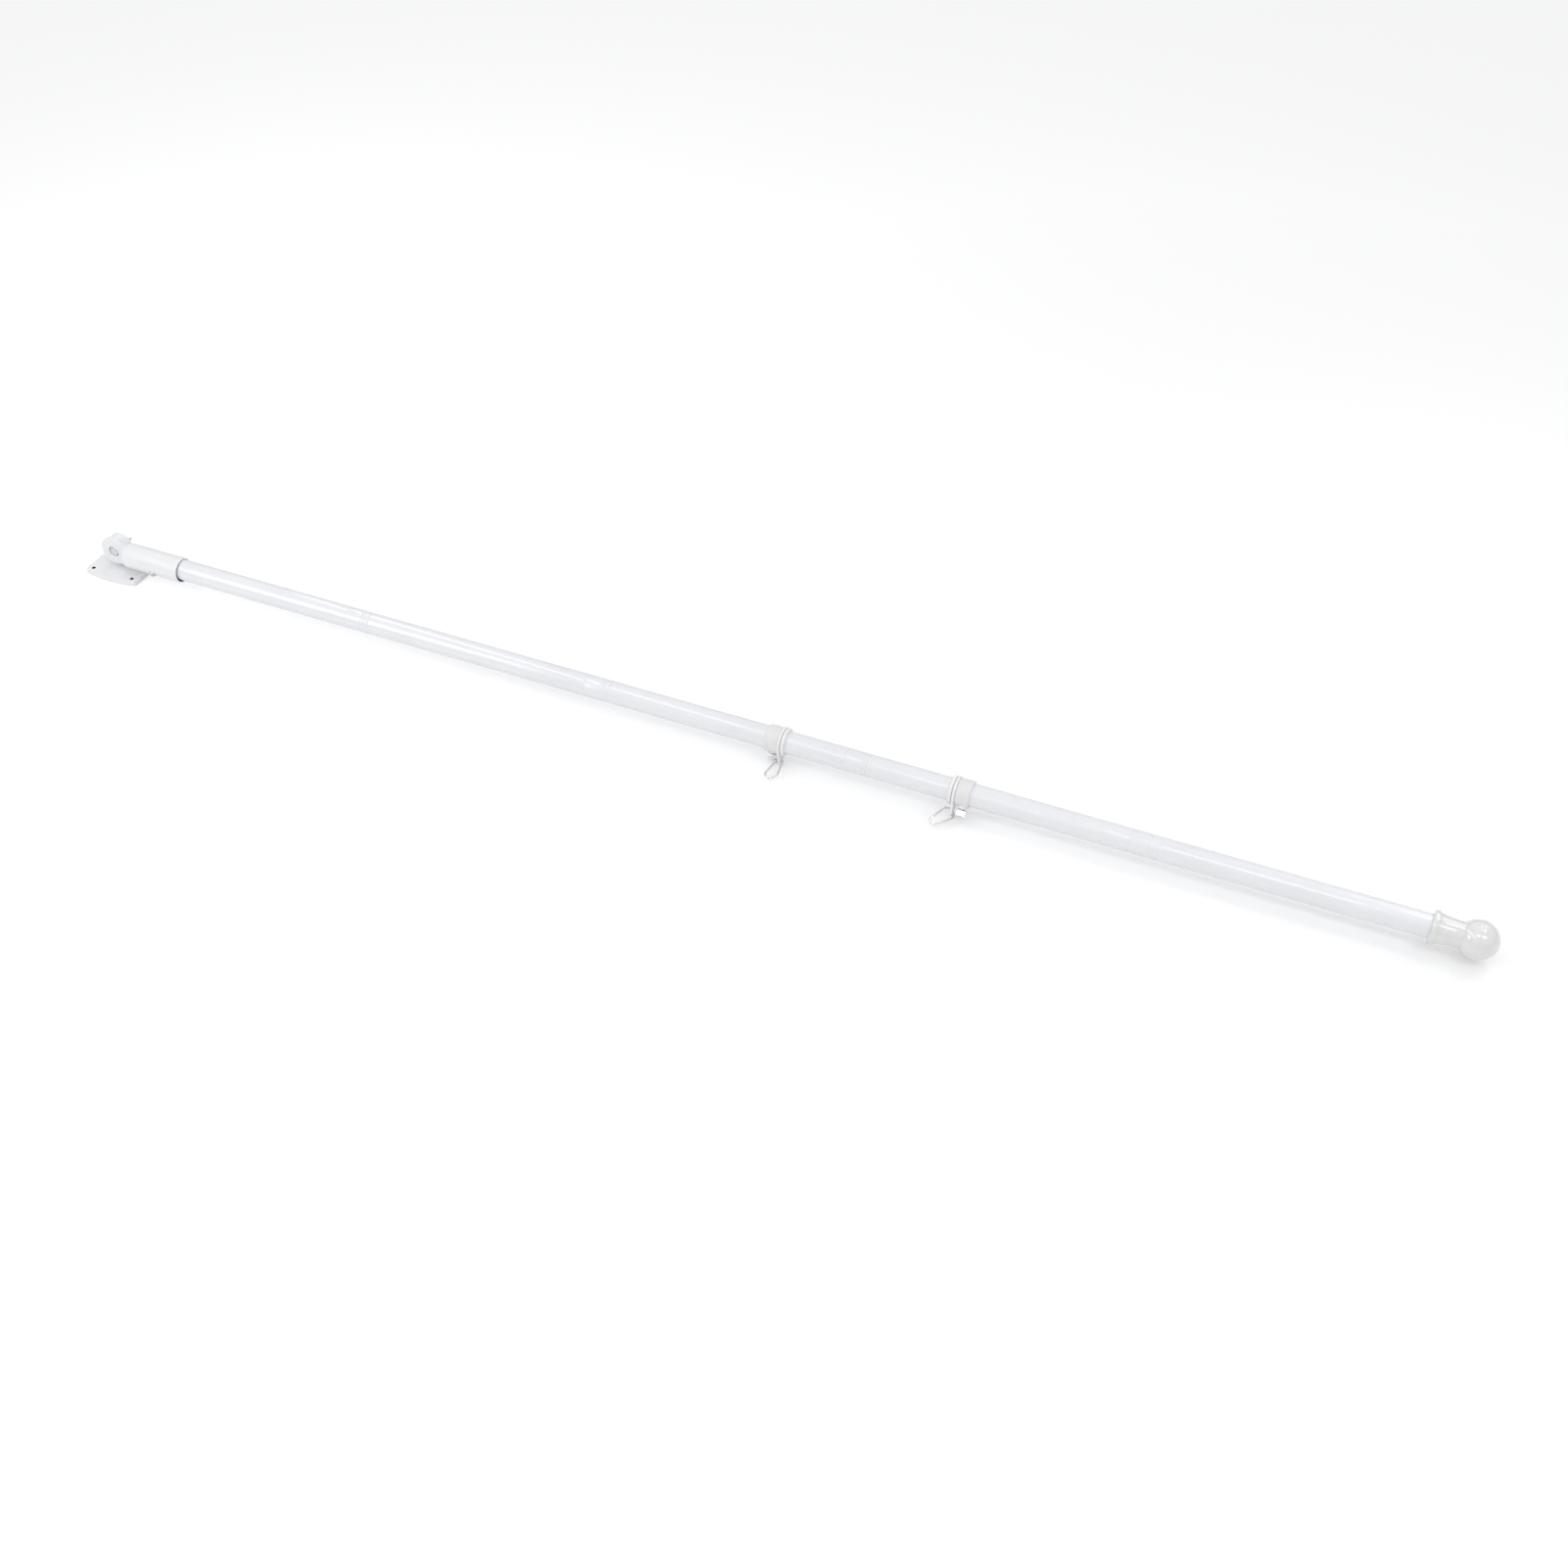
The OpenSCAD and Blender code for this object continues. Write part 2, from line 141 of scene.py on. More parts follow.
def color_setting(name, description, default):
    """A colour"""
    return FloatVectorProperty(name=name, description=description, subtype="COLOR", size=3,
                               min=0, max=1, default=default)


def strength_setting(name, description, default, high):
    """The power of a lamp in watts, or another plain strength"""
    return FloatProperty(name=name, description=description, default=default, min=0, max=high)


class BracketSettings(bpy.types.PropertyGroup):
    """Sizes and colour of the bracket and its hinge"""

    enamel_color: color_setting("Enamel", "Colour of the bracket's enamel", (0.86, 0.863, 0.877))
    steel_color: color_setting(
        "Steel", "Colour of the plated steel fasteners", (0.76, 0.765, 0.775))
    plate_thickness: length_setting("Plate thickness", "Thickness of the wall plate", 5.5, 4, 7)
    cast_grain: length_setting(
        "Casting detail", "Size of the casting's mesh faces", 0.5, 0.4, 1.5)
    disc_radius: length_setting("Disc radius", "Radius of the socket's hinge disc", 17.5, 16, 18)
    ear_radius: length_setting("Ear radius", "Radius of the plate's hinge ear", 16, 15, 17)
    bolt_radius: length_setting("Bolt radius", "Radius of the hinge bolt", 3, 2.5, 4)
    bore_radius: length_setting("Bore radius", "Radius of the socket's bore", 13.6, 13.55, 13.8)
    pole_push: length_setting(
        "Pole push", "How far the socket's screw pushes the pole over", 1, 0.4, 1)
    screw_turn: angle_setting(
        "Socket screw", "Direction of the socket's screw, from straight down", 75, 0, 90)
    wing_turn: angle_setting("Wing nut", "How far the wing nut is turned", 35, 0, 180)
    thread_pitch: length_setting("Thread pitch", "Pitch of the bolt's thread", 1, 0.5, 1.5)


class PoleSettings(bpy.types.PropertyGroup):
    """Sizes and colour of the tube sections"""

    coat_color: color_setting("Coat", "Colour of the tubes' coat", (0.86, 0.865, 0.885))
    wall: length_setting("Wall", "Thickness of the tube's wall", 1.2, 1, 1.6)
    end_round: length_setting(
        "End round", "How far the tube's cut ends are rounded over", 0.35, 0, 0.5)
    groove_count: IntProperty(
        name="Grooves", description="Rolled grooves past each seam", default=3, min=1, max=4)
    groove_start: length_setting(
        "First groove", "Distance from a seam to its first groove", 20, 16, 26)
    groove_pitch: length_setting("Groove spacing", "Spacing of the rolled grooves", 4.5, 4, 6)
    groove_depth: length_setting("Groove depth", "Depth of the rolled grooves", 0.5, 0.3, 0.6)
    groove_width: length_setting("Groove width", "Half width of a rolled groove", 0.75, 0.4, 1.2)


class RingSettings(bpy.types.PropertyGroup):
    """Sizes and colours of the two sliding rings and their snap hooks"""

    nylon_color: color_setting("Nylon", "Colour of the moulded rings", (0.82, 0.82, 0.823))
    white_color: color_setting(
        "White rings", "Colour of the turning rings and their retainers", (0.9, 0.903, 0.91))
    chrome_color: color_setting(
        "Chrome", "Colour of the plated screws and hooks", (0.88, 0.88, 0.89))
    collar_radius: length_setting(
        "Collar radius", "Outside radius of the clamping collar", 14.8, 14.5, 15.5)
    plate_radius: length_setting(
        "Ring radius", "Outside radius of the turning ring plate", 15.6, 15.4, 17)
    eye_distance: length_setting(
        "Eye distance", "Distance from the pole's axis to the eye", 22, 21, 23)
    lower_eye_turn: angle_setting(
        "Lower eye", "Direction of the lower eye, from straight down", 18, 0, 60)
    upper_eye_turn: angle_setting(
        "Upper eye", "Direction of the upper eye, from straight down", 32, 0, 60)
    lower_screw_turn: angle_setting(
        "Lower thumbscrew", "Direction of the lower thumbscrew", 8, -30, 60)
    upper_screw_turn: angle_setting(
        "Upper thumbscrew", "Direction of the upper thumbscrew", 52, -30, 60)
    knurl_count: IntProperty(
        name="Knurls", description="Ridges around a thumbscrew's head", default=24, min=12,
        max=48)
    wire_radius: length_setting("Wire radius", "Radius of the hooks' wire", 1.1, 0.9, 1.3)
    gate_radius: length_setting("Gate radius", "Radius of the gates' rod", 1.2, 1.1, 1.5)
    wide_bend: length_setting("Wide bend", "Radius of a hook's wide bend", 6.8, 6, 9)
    narrow_bend: length_setting("Narrow bend", "Radius of a hook's narrow bend", 3.7, 3.5, 4.5)
    bend_gap: length_setting("Bend spacing", "Distance between a hook's two bends", 21, 16, 24)


class FinialSettings(bpy.types.PropertyGroup):
    """Sizes and colour of the finial"""

    gloss_color: color_setting("Gloss", "Colour of the ball and its cap", (0.79, 0.788, 0.785))
    ball_radius: length_setting("Ball radius", "Radius of the ball", 20, 18, 23)
    flange_radius: length_setting("Flange radius", "Radius of the cap's flange", 17.25, 15, 18)
    flange_width: length_setting("Flange width", "Width of the cap's flange", 5.5, 4, 8)
    neck_radius: length_setting(
        "Neck radius", "Radius of the neck where it meets the ball", 13.5, 12.8, 15)


class StudioSettings(bpy.types.PropertyGroup):
    """The floor, the lamps and the camera"""

    floor_color: color_setting("Floor", "Colour of the floor", (0.93, 0.93, 0.93))
    floor_lift: strength_setting(
        "Floor lift", "Extra brightness the camera sees on the floor, growing away from the ball", 0.27, 1)
    sky_strength: strength_setting("Sky", "Strength of the even light all round", 0.68, 2)
    strip_power: strength_setting("Strip lamp", "Power of the long lamp overhead", 3.4, 200)
    key_power: strength_setting("Key lamp", "Power of the lamp beyond the ball's end", 1.2, 200)
    front_power: strength_setting(
        "Front lamp", "Power of the lamp in front of the rings", 0.1, 200)
    fill_power: strength_setting("Fill lamp", "Power of the broad lamp by the bracket", 4.2, 200)
    window_power: strength_setting("Window lamps", "Power of each small lamp", 0.9, 50)


# ---------- outlines ----------


def rounded(corners, radii, closed=False, steps=5):
    """The corners as a path, each one replaced by an arc of its radius"""
    corners = [Vector(c) for c in corners]
    if not isinstance(radii, (list, tuple)):
        radii = [radii] * len(corners)
    path = []
    for i, corner in enumerate(corners):
        if radii[i] <= 0 or (not closed and i in (0, len(corners) - 1)):
            path.append(corner)
            continue
        back = corners[i - 1] - corner
        ahead = corners[(i + 1) % len(corners)] - corner
        half = back.angle(ahead) / 2
        reach = min(radii[i] / tan(half), 0.49 * back.length, 0.49 * ahead.length)
        radius = reach * tan(half)
        back.normalize()
        ahead.normalize()
        centre = corner + (back + ahead).normalized() * (radius / sin(half))
        first = corner + back * reach - centre
        last = corner + ahead * reach - centre
        sweep = first.angle(last)
        for k in range(steps + 1):
            t = k / steps
            turn = (first * sin((1 - t) * sweep) + last * sin(t * sweep)) / sin(sweep)
            path.append(centre + turn)
    return path


def arc(centre, radius, start, end, steps):
    """Points on a circle from one angle to another, both included"""
    return [Vector((centre[0] + radius * cos(start + (end - start) * k / steps),
                    centre[1] + radius * sin(start + (end - start) * k / steps)))
            for k in range(steps + 1)]


# ---------- meshes ----------


def lathe(profile, segments=96, closed=False):
    """A mesh turned about X from points of x and radius; a zero radius is a pole"""
    bm = bmesh.new()
    rings = []
    for x, r in profile:
        if r < 1e-8:
            rings.append([bm.verts.new((x, 0, 0))])
        else:
            rings.append([bm.verts.new((x, r * cos(2 * pi * k / segments),
                                        r * sin(2 * pi * k / segments)))
                          for k in range(segments)])
    pairs = list(zip(rings, rings[1:])) + ([(rings[-1], rings[0])] if closed else [])
    for a, b in pairs:
        for k in range(segments):
            n = (k + 1) % segments
            corner = [a[k % len(a)], a[n % len(a)], b[n % len(b)], b[k % len(b)]]
            face = list(dict.fromkeys(corner))
            if len(face) > 2:
                bm.faces.new(face)
    bmesh.ops.recalc_face_normals(bm, faces=bm.faces)
    return bm


def cylinder(start, end, radius, segments):
    """A closed cylinder about X"""
    return lathe([(start, 0), (start, radius), (end, radius), (end, 0)], segments)


def prism(outline, low, high, edge=0.0, steps=3):
    """A flat outline drawn in XY, pushed from z low to high, with its rims rounded"""
    bm = bmesh.new()
    base = [bm.verts.new((p[0], p[1], low)) for p in outline]
    face = bm.faces.new(base)
    side = bmesh.ops.extrude_face_region(bm, geom=[face])
    top = [v for v in side["geom"] if isinstance(v, bmesh.types.BMVert)]
    bmesh.ops.translate(bm, vec=(0, 0, high - low), verts=top)
    bmesh.ops.recalc_face_normals(bm, faces=bm.faces)
    if edge:
        rims = [e for e in bm.edges if abs(e.verts[0].co.z - e.verts[1].co.z) < 1e-9]
        bmesh.ops.bevel(bm, geom=rims, offset=edge, segments=steps, profile=0.5,
                        affect="EDGES", clamp_overlap=True)
    return bm


def sweep(path, radius, sides=20):
    """A round wire along a path, its ends closed with low domes"""
    path = [Vector(p) for p in path]
    bm = bmesh.new()
    tangents = []
    for i in range(len(path)):
        a = path[max(i - 1, 0)]
        b = path[min(i + 1, len(path) - 1)]
        tangents.append((b - a).normalized())
    side = tangents[0].orthogonal().normalized()
    stations = [(p, t, radius) for p, t in zip(path, tangents)]
    # A dome starts 0.45 of the radius from each end and passes two narrower stations
    head = [(path[0] + tangents[0] * (f * 0.4 * radius), tangents[0],
             radius * sqrt(1 - (1 - f) ** 2)) for f in (0.15, 0.5)]
    tail = [(path[-1] - tangents[-1] * (f * 0.4 * radius), tangents[-1],
             radius * sqrt(1 - (1 - f) ** 2)) for f in (0.5, 0.15)]
    stations[0] = (path[0] + tangents[0] * 0.45 * radius, tangents[0], radius)
    stations[-1] = (path[-1] - tangents[-1] * 0.45 * radius, tangents[-1], radius)
    stations = head + stations + tail
    rings = []
    for point, tangent, r in stations:
        side = (side - tangent * side.dot(tangent)).normalized()
        up = tangent.cross(side)
        rings.append([bm.verts.new(point + side * (r * cos(2 * pi * k / sides))
                                   + up * (r * sin(2 * pi * k / sides)))
                      for k in range(sides)])
    for a, b in zip(rings, rings[1:]):
        for k in range(sides):
            n = (k + 1) % sides
            bm.faces.new((a[k], a[n], b[n], b[k]))
    for ring, point in ((rings[0], path[0]), (rings[-1], path[-1])):
        pole = bm.verts.new(point)
        for k in range(sides):
            bm.faces.new((ring[k], ring[(k + 1) % sides], pole))
    bmesh.ops.recalc_face_normals(bm, faces=bm.faces)
    return bm


def axes(origin, x_axis, y_axis):
    """The matrix that puts local X and Y along two square directions at an origin"""
    x_axis = Vector(x_axis).normalized()
    y_axis = Vector(y_axis).normalized()
    z_axis = x_axis.cross(y_axis)
    turn = Matrix((x_axis, y_axis, z_axis)).transposed().to_4x4()
    return Matrix.Translation(Vector(origin)) @ turn


def placed(bm, matrix):
    """The mesh moved by a matrix"""
    bm.transform(matrix)
    return bm


def on_pole(x, facing=1):
    """Local X along the pole from x, towards the ball or back towards the bracket"""
    return axes((x, 0, AXIS_Z), (facing, 0, 0), (0, facing, 0))


def across_hinge():
    """Local X along the hinge's axis from the middle plane"""
    return axes((0, 0, AXIS_Z), (0, 1, 0), (0, 0, 1))


def hinge_plane():
    """Local X along the pole, local Y away from the wall, local Z towards -Y"""
    return axes((0, 0, AXIS_Z), (1, 0, 0), (0, 0, 1))


def outward(x, turn):
    """Local X out of the pole at x, turned from straight down towards the front"""
    return axes((x, 0, AXIS_Z), (0, -sin(turn), -cos(turn)), (1, 0, 0))


def x_upright(origin=(0, 0, 0)):
    """Local X along Z, to stand up what is turned about X"""
    return axes(origin, (0, 0, 1), (1, 0, 0))


def z_along():
    """Local Z along X, to lay down what the shape trees build along Z"""
    return axes((0, 0, 0), (0, 1, 0), (0, 0, 1))


def merged(*parts):
    """One mesh that holds the faces of all the parts"""
    whole = parts[0]
    for part in parts[1:]:
        mesh = bpy.data.meshes.new("part")
        part.to_mesh(mesh)
        part.free()
        whole.from_mesh(mesh)
        bpy.data.meshes.remove(mesh)
    return whole


def evaluated(context, obj):
    """The object's mesh with its modifiers worked out, as an editable mesh"""
    graph = context.evaluated_depsgraph_get()
    mesh = bpy.data.meshes.new_from_object(obj.evaluated_get(graph))
    bm = bmesh.new()
    bm.from_mesh(mesh)
    bpy.data.meshes.remove(mesh)
    return bm


def bench_object(context, bm, name="bench"):
    """A scratch object for one modifier"""
    mesh = bpy.data.meshes.new(name)
    bm.to_mesh(mesh)
    bm.free()
    obj = bpy.data.objects.new(name, mesh)
    context.scene.collection.objects.link(obj)
    return obj


def clear_bench(*objects):
    """Removes scratch objects and their meshes"""
    for obj in objects:
        mesh = obj.data
        bpy.data.objects.remove(obj)
        bpy.data.meshes.remove(mesh)


def carved(context, base, tool, operation="DIFFERENCE"):
    """Joins a tool mesh to a base mesh, or cuts it away"""
    body = bench_object(context, base)
    cutter = bench_object(context, tool)
    step = body.modifiers.new("Carve", "BOOLEAN")
    step.operation = operation
    step.solver = "EXACT"
    step.object = cutter
    context.view_layer.update()
    bm = evaluated(context, body)
    clear_bench(body, cutter)
    return bm


def cast(context, bm, face_size, rounds):
    """The mesh as one casting, with every edge and inside corner softened"""
    obj = bench_object(context, bm)
    skin = obj.modifiers.new("Skin", "REMESH")
    skin.mode = "VOXEL"
    skin.voxel_size = face_size
    skin.adaptivity = 0
    soften = obj.modifiers.new("Soften", "SMOOTH")
    soften.factor = 0.5
    soften.iterations = rounds
    context.view_layer.update()
    result = evaluated(context, obj)
    clear_bench(obj)
    return result


def add_piece(context, name, bm, material, body, nodes, crease=35):
    """Makes the mesh an object that rides on its body and stands for CAD nodes"""
    mesh = bpy.data.meshes.new(name)
    bm.to_mesh(mesh)
    bm.free()
    obj = bpy.data.objects.new(name, mesh)
    context.scene.collection.objects.link(obj)
    for polygon in mesh.polygons:
        polygon.use_smooth = True
        polygon.material_index = 0
    mesh.set_sharp_from_angle(angle=radians(crease))
    mesh.materials.clear()
    mesh.materials.append(material)
    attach(obj, body)
    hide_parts(*nodes)
    return obj


# ---------- repeated shapes ----------


def node(tree, kind, **values):
    """Adds a node; a value goes to the socket of that name, or to the setting of that name"""
    made = tree.nodes.new(kind)
    for name, value in values.items():
        label = name.replace("_", " ")
        match = [s for s in made.inputs if s.name.lower() == label.lower()]
        if match:
            match[0].default_value = value
        else:
            setattr(made, name, value)
    return made


def shape_tree(name, inputs):
    """An empty shape tree with a geometry input, named inputs and a finish"""
    tree = bpy.data.node_groups.new(name, "GeometryNodeTree")
    tree.interface.new_socket("Geometry", in_out="OUTPUT", socket_type="NodeSocketGeometry")
    tree.interface.new_socket("Geometry", in_out="INPUT", socket_type="NodeSocketGeometry")
    for label, kind, default in inputs:
        item = tree.interface.new_socket(label, in_out="INPUT", socket_type=kind)
        item.default_value = default
    tree.interface.new_socket("Finish", in_out="INPUT", socket_type="NodeSocketMaterial")
    return tree, tree.nodes.new("NodeGroupInput"), tree.nodes.new("NodeGroupOutput")


def close_tree(tree, last, given, result):
    """Ends a shape tree with real geometry and its finish"""
    real = tree.nodes.new("GeometryNodeRealizeInstances")
    coat = tree.nodes.new("GeometryNodeSetMaterial")
    tree.links.new(last, real.inputs["Geometry"])
    tree.links.new(real.outputs["Geometry"], coat.inputs["Geometry"])
    tree.links.new(given.outputs["Finish"], coat.inputs["Material"])
    tree.links.new(coat.outputs["Geometry"], result.inputs["Geometry"])
    return tree


def math_node(tree, operation, a, b=None):
    """One sum; each side is a socket or a number"""
    made = node(tree, "ShaderNodeMath", operation=operation)
    for slot, value in zip(made.inputs, (a, b)):
        if value is None:
            continue
        if isinstance(value, (int, float)):
            slot.default_value = value
        else:
            tree.links.new(value, slot)
    return made.outputs[0]


def thread_tree():
    """A screw thread: one ridge wound round Z"""
    tree, given, result = shape_tree("Thread", [
        ("Radius", "NodeSocketFloat", 3 * MM), ("Pitch", "NodeSocketFloat", 1 * MM),
        ("Length", "NodeSocketFloat", 6 * MM), ("Ridge", "NodeSocketFloat", 0.35 * MM)])
    turns = math_node(tree, "DIVIDE", given.outputs["Length"], given.outputs["Pitch"])
    coil = node(tree, "GeometryNodeCurveSpiral", Resolution=28)
    tree.links.new(turns, coil.inputs["Rotations"])
    tree.links.new(given.outputs["Radius"], coil.inputs["Start Radius"])
    tree.links.new(given.outputs["Radius"], coil.inputs["End Radius"])
    tree.links.new(given.outputs["Length"], coil.inputs["Height"])
    ridge = node(tree, "GeometryNodeCurvePrimitiveCircle", Resolution=4)
    tree.links.new(given.outputs["Ridge"], ridge.inputs["Radius"])
    wound = node(tree, "GeometryNodeCurveToMesh", Fill_Caps=True)
    tree.links.new(coil.outputs["Curve"], wound.inputs["Curve"])
    tree.links.new(ridge.outputs["Curve"], wound.inputs["Profile Curve"])
    return close_tree(tree, wound.outputs["Mesh"], given, result)


def knurl_tree():
    """Straight ridges that stand round Z, each one a tapered bar with a corner outwards"""
    tree, given, result = shape_tree("Knurls", [
        ("Count", "NodeSocketInt", 24), ("Radius", "NodeSocketFloat", 5.2 * MM),
        ("Height", "NodeSocketFloat", 5 * MM), ("Ridge", "NodeSocketFloat", 0.6 * MM)])
    circle = node(tree, "GeometryNodeMeshCircle")
    tree.links.new(given.outputs["Count"], circle.inputs["Vertices"])
    tree.links.new(given.outputs["Radius"], circle.inputs["Radius"])
    straight = math_node(tree, "MULTIPLY", given.outputs["Height"], 0.86)
    point = math_node(tree, "MULTIPLY", given.outputs["Height"], 0.07)
    narrow = math_node(tree, "MULTIPLY", given.outputs["Ridge"], 0.3)
    bar = node(tree, "GeometryNodeMeshCylinder", Vertices=4)
    tree.links.new(given.outputs["Ridge"], bar.inputs["Radius"])
    tree.links.new(straight, bar.inputs["Depth"])
    ends = []
    for way in (1, -1):
        tip = node(tree, "GeometryNodeMeshCone", Vertices=4, fill_type="NONE")
        top, bottom = "Radius Top", "Radius Bottom"
        if way < 0:
            top, bottom = bottom, top
        tree.links.new(narrow, tip.inputs[top])
        tree.links.new(given.outputs["Ridge"], tip.inputs[bottom])
        tree.links.new(point, tip.inputs["Depth"])
        offset = math_node(tree, "MULTIPLY", given.outputs["Height"], 0.43 if way > 0 else -0.5)
        shift = node(tree, "ShaderNodeCombineXYZ")
        tree.links.new(offset, shift.inputs["Z"])
        move = node(tree, "GeometryNodeTransform")
        tree.links.new(tip.outputs["Mesh"], move.inputs["Geometry"])
        tree.links.new(shift.outputs["Vector"], move.inputs["Translation"])
        ends.append(move.outputs["Geometry"])
    joined = tree.nodes.new("GeometryNodeJoinGeometry")
    for part in [bar.outputs["Mesh"]] + ends:
        tree.links.new(part, joined.inputs["Geometry"])
    place = tree.nodes.new("GeometryNodeInputPosition")
    aim = node(tree, "FunctionNodeAlignRotationToVector", axis="X")
    tree.links.new(place.outputs["Position"], aim.inputs["Vector"])
    stand = tree.nodes.new("GeometryNodeInstanceOnPoints")
    tree.links.new(circle.outputs["Mesh"], stand.inputs["Points"])
    tree.links.new(joined.outputs["Geometry"], stand.inputs["Instance"])
    tree.links.new(aim.outputs["Rotation"], stand.inputs["Rotation"])
    return close_tree(tree, stand.outputs["Instances"], given, result)


def groove_tree():
    """Rolls evenly spaced grooves into the outside of a tube that lies along X"""
    tree, given, result = shape_tree("Rolled grooves", [
        ("Start", "NodeSocketFloat", 20 * MM), ("Pitch", "NodeSocketFloat", 4.5 * MM),
        ("Count", "NodeSocketInt", 3), ("Depth", "NodeSocketFloat", 0.5 * MM),
        ("Width", "NodeSocketFloat", 0.8 * MM), ("Skin", "NodeSocketFloat", 12 * MM)])
    place = tree.nodes.new("GeometryNodeInputPosition")
    split = tree.nodes.new("ShaderNodeSeparateXYZ")
    tree.links.new(place.outputs["Position"], split.inputs["Vector"])
    along = math_node(tree, "SUBTRACT", split.outputs["X"], given.outputs["Start"])
    step = math_node(tree, "ROUND", math_node(tree, "DIVIDE", along, given.outputs["Pitch"]))
    last = math_node(tree, "SUBTRACT", given.outputs["Count"], 1)
    step = math_node(tree, "MINIMUM", math_node(tree, "MAXIMUM", step, 0), last)
    middle = math_node(tree, "MULTIPLY", step, given.outputs["Pitch"])
    off = math_node(tree, "DIVIDE", math_node(tree, "SUBTRACT", along, middle),
                    given.outputs["Width"])
    bell = math_node(tree, "EXPONENT", math_node(tree, "MULTIPLY", math_node(
        tree, "MULTIPLY", off, off), -1))
    spread = tree.nodes.new("ShaderNodeCombineXYZ")
    tree.links.new(split.outputs["Y"], spread.inputs["Y"])
    tree.links.new(split.outputs["Z"], spread.inputs["Z"])
    reach = node(tree, "ShaderNodeVectorMath", operation="LENGTH")
    tree.links.new(spread.outputs["Vector"], reach.inputs[0])
    outside = math_node(tree, "GREATER_THAN", reach.outputs["Value"], given.outputs["Skin"])
    depth = math_node(tree, "MULTIPLY", math_node(tree, "MULTIPLY", bell, outside),
                      given.outputs["Depth"])
    away = node(tree, "ShaderNodeVectorMath", operation="NORMALIZE")
    tree.links.new(spread.outputs["Vector"], away.inputs[0])
    push = node(tree, "ShaderNodeVectorMath", operation="SCALE")
    tree.links.new(away.outputs["Vector"], push.inputs[0])
    tree.links.new(math_node(tree, "MULTIPLY", depth, -1), push.inputs["Scale"])
    rolled = tree.nodes.new("GeometryNodeSetPosition")
    tree.links.new(given.outputs["Geometry"], rolled.inputs["Geometry"])
    tree.links.new(push.outputs["Vector"], rolled.inputs["Offset"])
    return close_tree(tree, rolled.outputs["Geometry"], given, result)


def grown(context, tree, finish, base=None, **values):
    """The mesh a shape tree gives for these values, worked on a base mesh if there is one"""
    obj = bench_object(context, base or bmesh.new(), tree.name)
    step = obj.modifiers.new(tree.name, "NODES")
    step.node_group = tree
    values["Finish"] = finish
    for item in tree.interface.items_tree:
        if item.item_type == "SOCKET" and item.in_out == "INPUT" and item.name in values:
            step[item.identifier] = values[item.name]
    context.view_layer.update()
    bm = evaluated(context, obj)
    clear_bench(obj)
    return bm


def thread(context, coat, radius, pitch, length, ridge):
    """A screw thread wound up Z from the origin"""
    return grown(context, shape("Thread", thread_tree), coat, Radius=radius, Pitch=pitch,
                 Length=length, Ridge=ridge)


def shape(name, builder):
    """The shape tree of that name, built the first time it is asked for"""
    return bpy.data.node_groups.get(name) or builder()


# ---------- shared effects for the finishes ----------


def effect_group(name, inputs, outputs):
    """An empty shader group with named inputs and outputs"""
    group = bpy.data.node_groups.new(name, "ShaderNodeTree")
    for label, kind, default in inputs:
        item = group.interface.new_socket(label, in_out="INPUT", socket_type=kind)
        item.default_value = default
    for label, kind in outputs:
        group.interface.new_socket(label, in_out="OUTPUT", socket_type=kind)
    return group, group.nodes.new("NodeGroupInput"), group.nodes.new("NodeGroupOutput")


def ramp(tree, value, low, high):
    """A value stretched so that low becomes 0 and high becomes 1"""
    made = node(tree, "ShaderNodeMapRange", clamp=True)
    made.inputs["From Min"].default_value = low
    made.inputs["From Max"].default_value = high
    tree.links.new(value, made.inputs["Value"])
    return made.outputs["Result"]


def coat_skin_group():
    """The faint ripple and specks of a sprayed or moulded skin"""
    group, given, result = effect_group("Coat skin", [
        ("Vector", "NodeSocketVector", (0, 0, 0)), ("Scale", "NodeSocketFloat", 400.0),
        ("Speck scale", "NodeSocketFloat", 900.0)],
        [("Height", "NodeSocketFloat"), ("Specks", "NodeSocketFloat")])
    ripple = node(group, "ShaderNodeTexNoise", Detail=2.0, Roughness=0.45)
    group.links.new(given.outputs["Vector"], ripple.inputs["Vector"])
    group.links.new(given.outputs["Scale"], ripple.inputs["Scale"])
    cells = node(group, "ShaderNodeTexVoronoi", Randomness=1.0)
    group.links.new(given.outputs["Vector"], cells.inputs["Vector"])
    group.links.new(given.outputs["Speck scale"], cells.inputs["Scale"])
    specks = ramp(group, cells.outputs["Distance"], 0.16, 0.02)
    raised = math_node(group, "MULTIPLY", specks, 0.35)
    group.links.new(math_node(group, "ADD", ripple.outputs["Fac"], raised),
                    result.inputs["Height"])
    group.links.new(specks, result.inputs["Specks"])
    return group


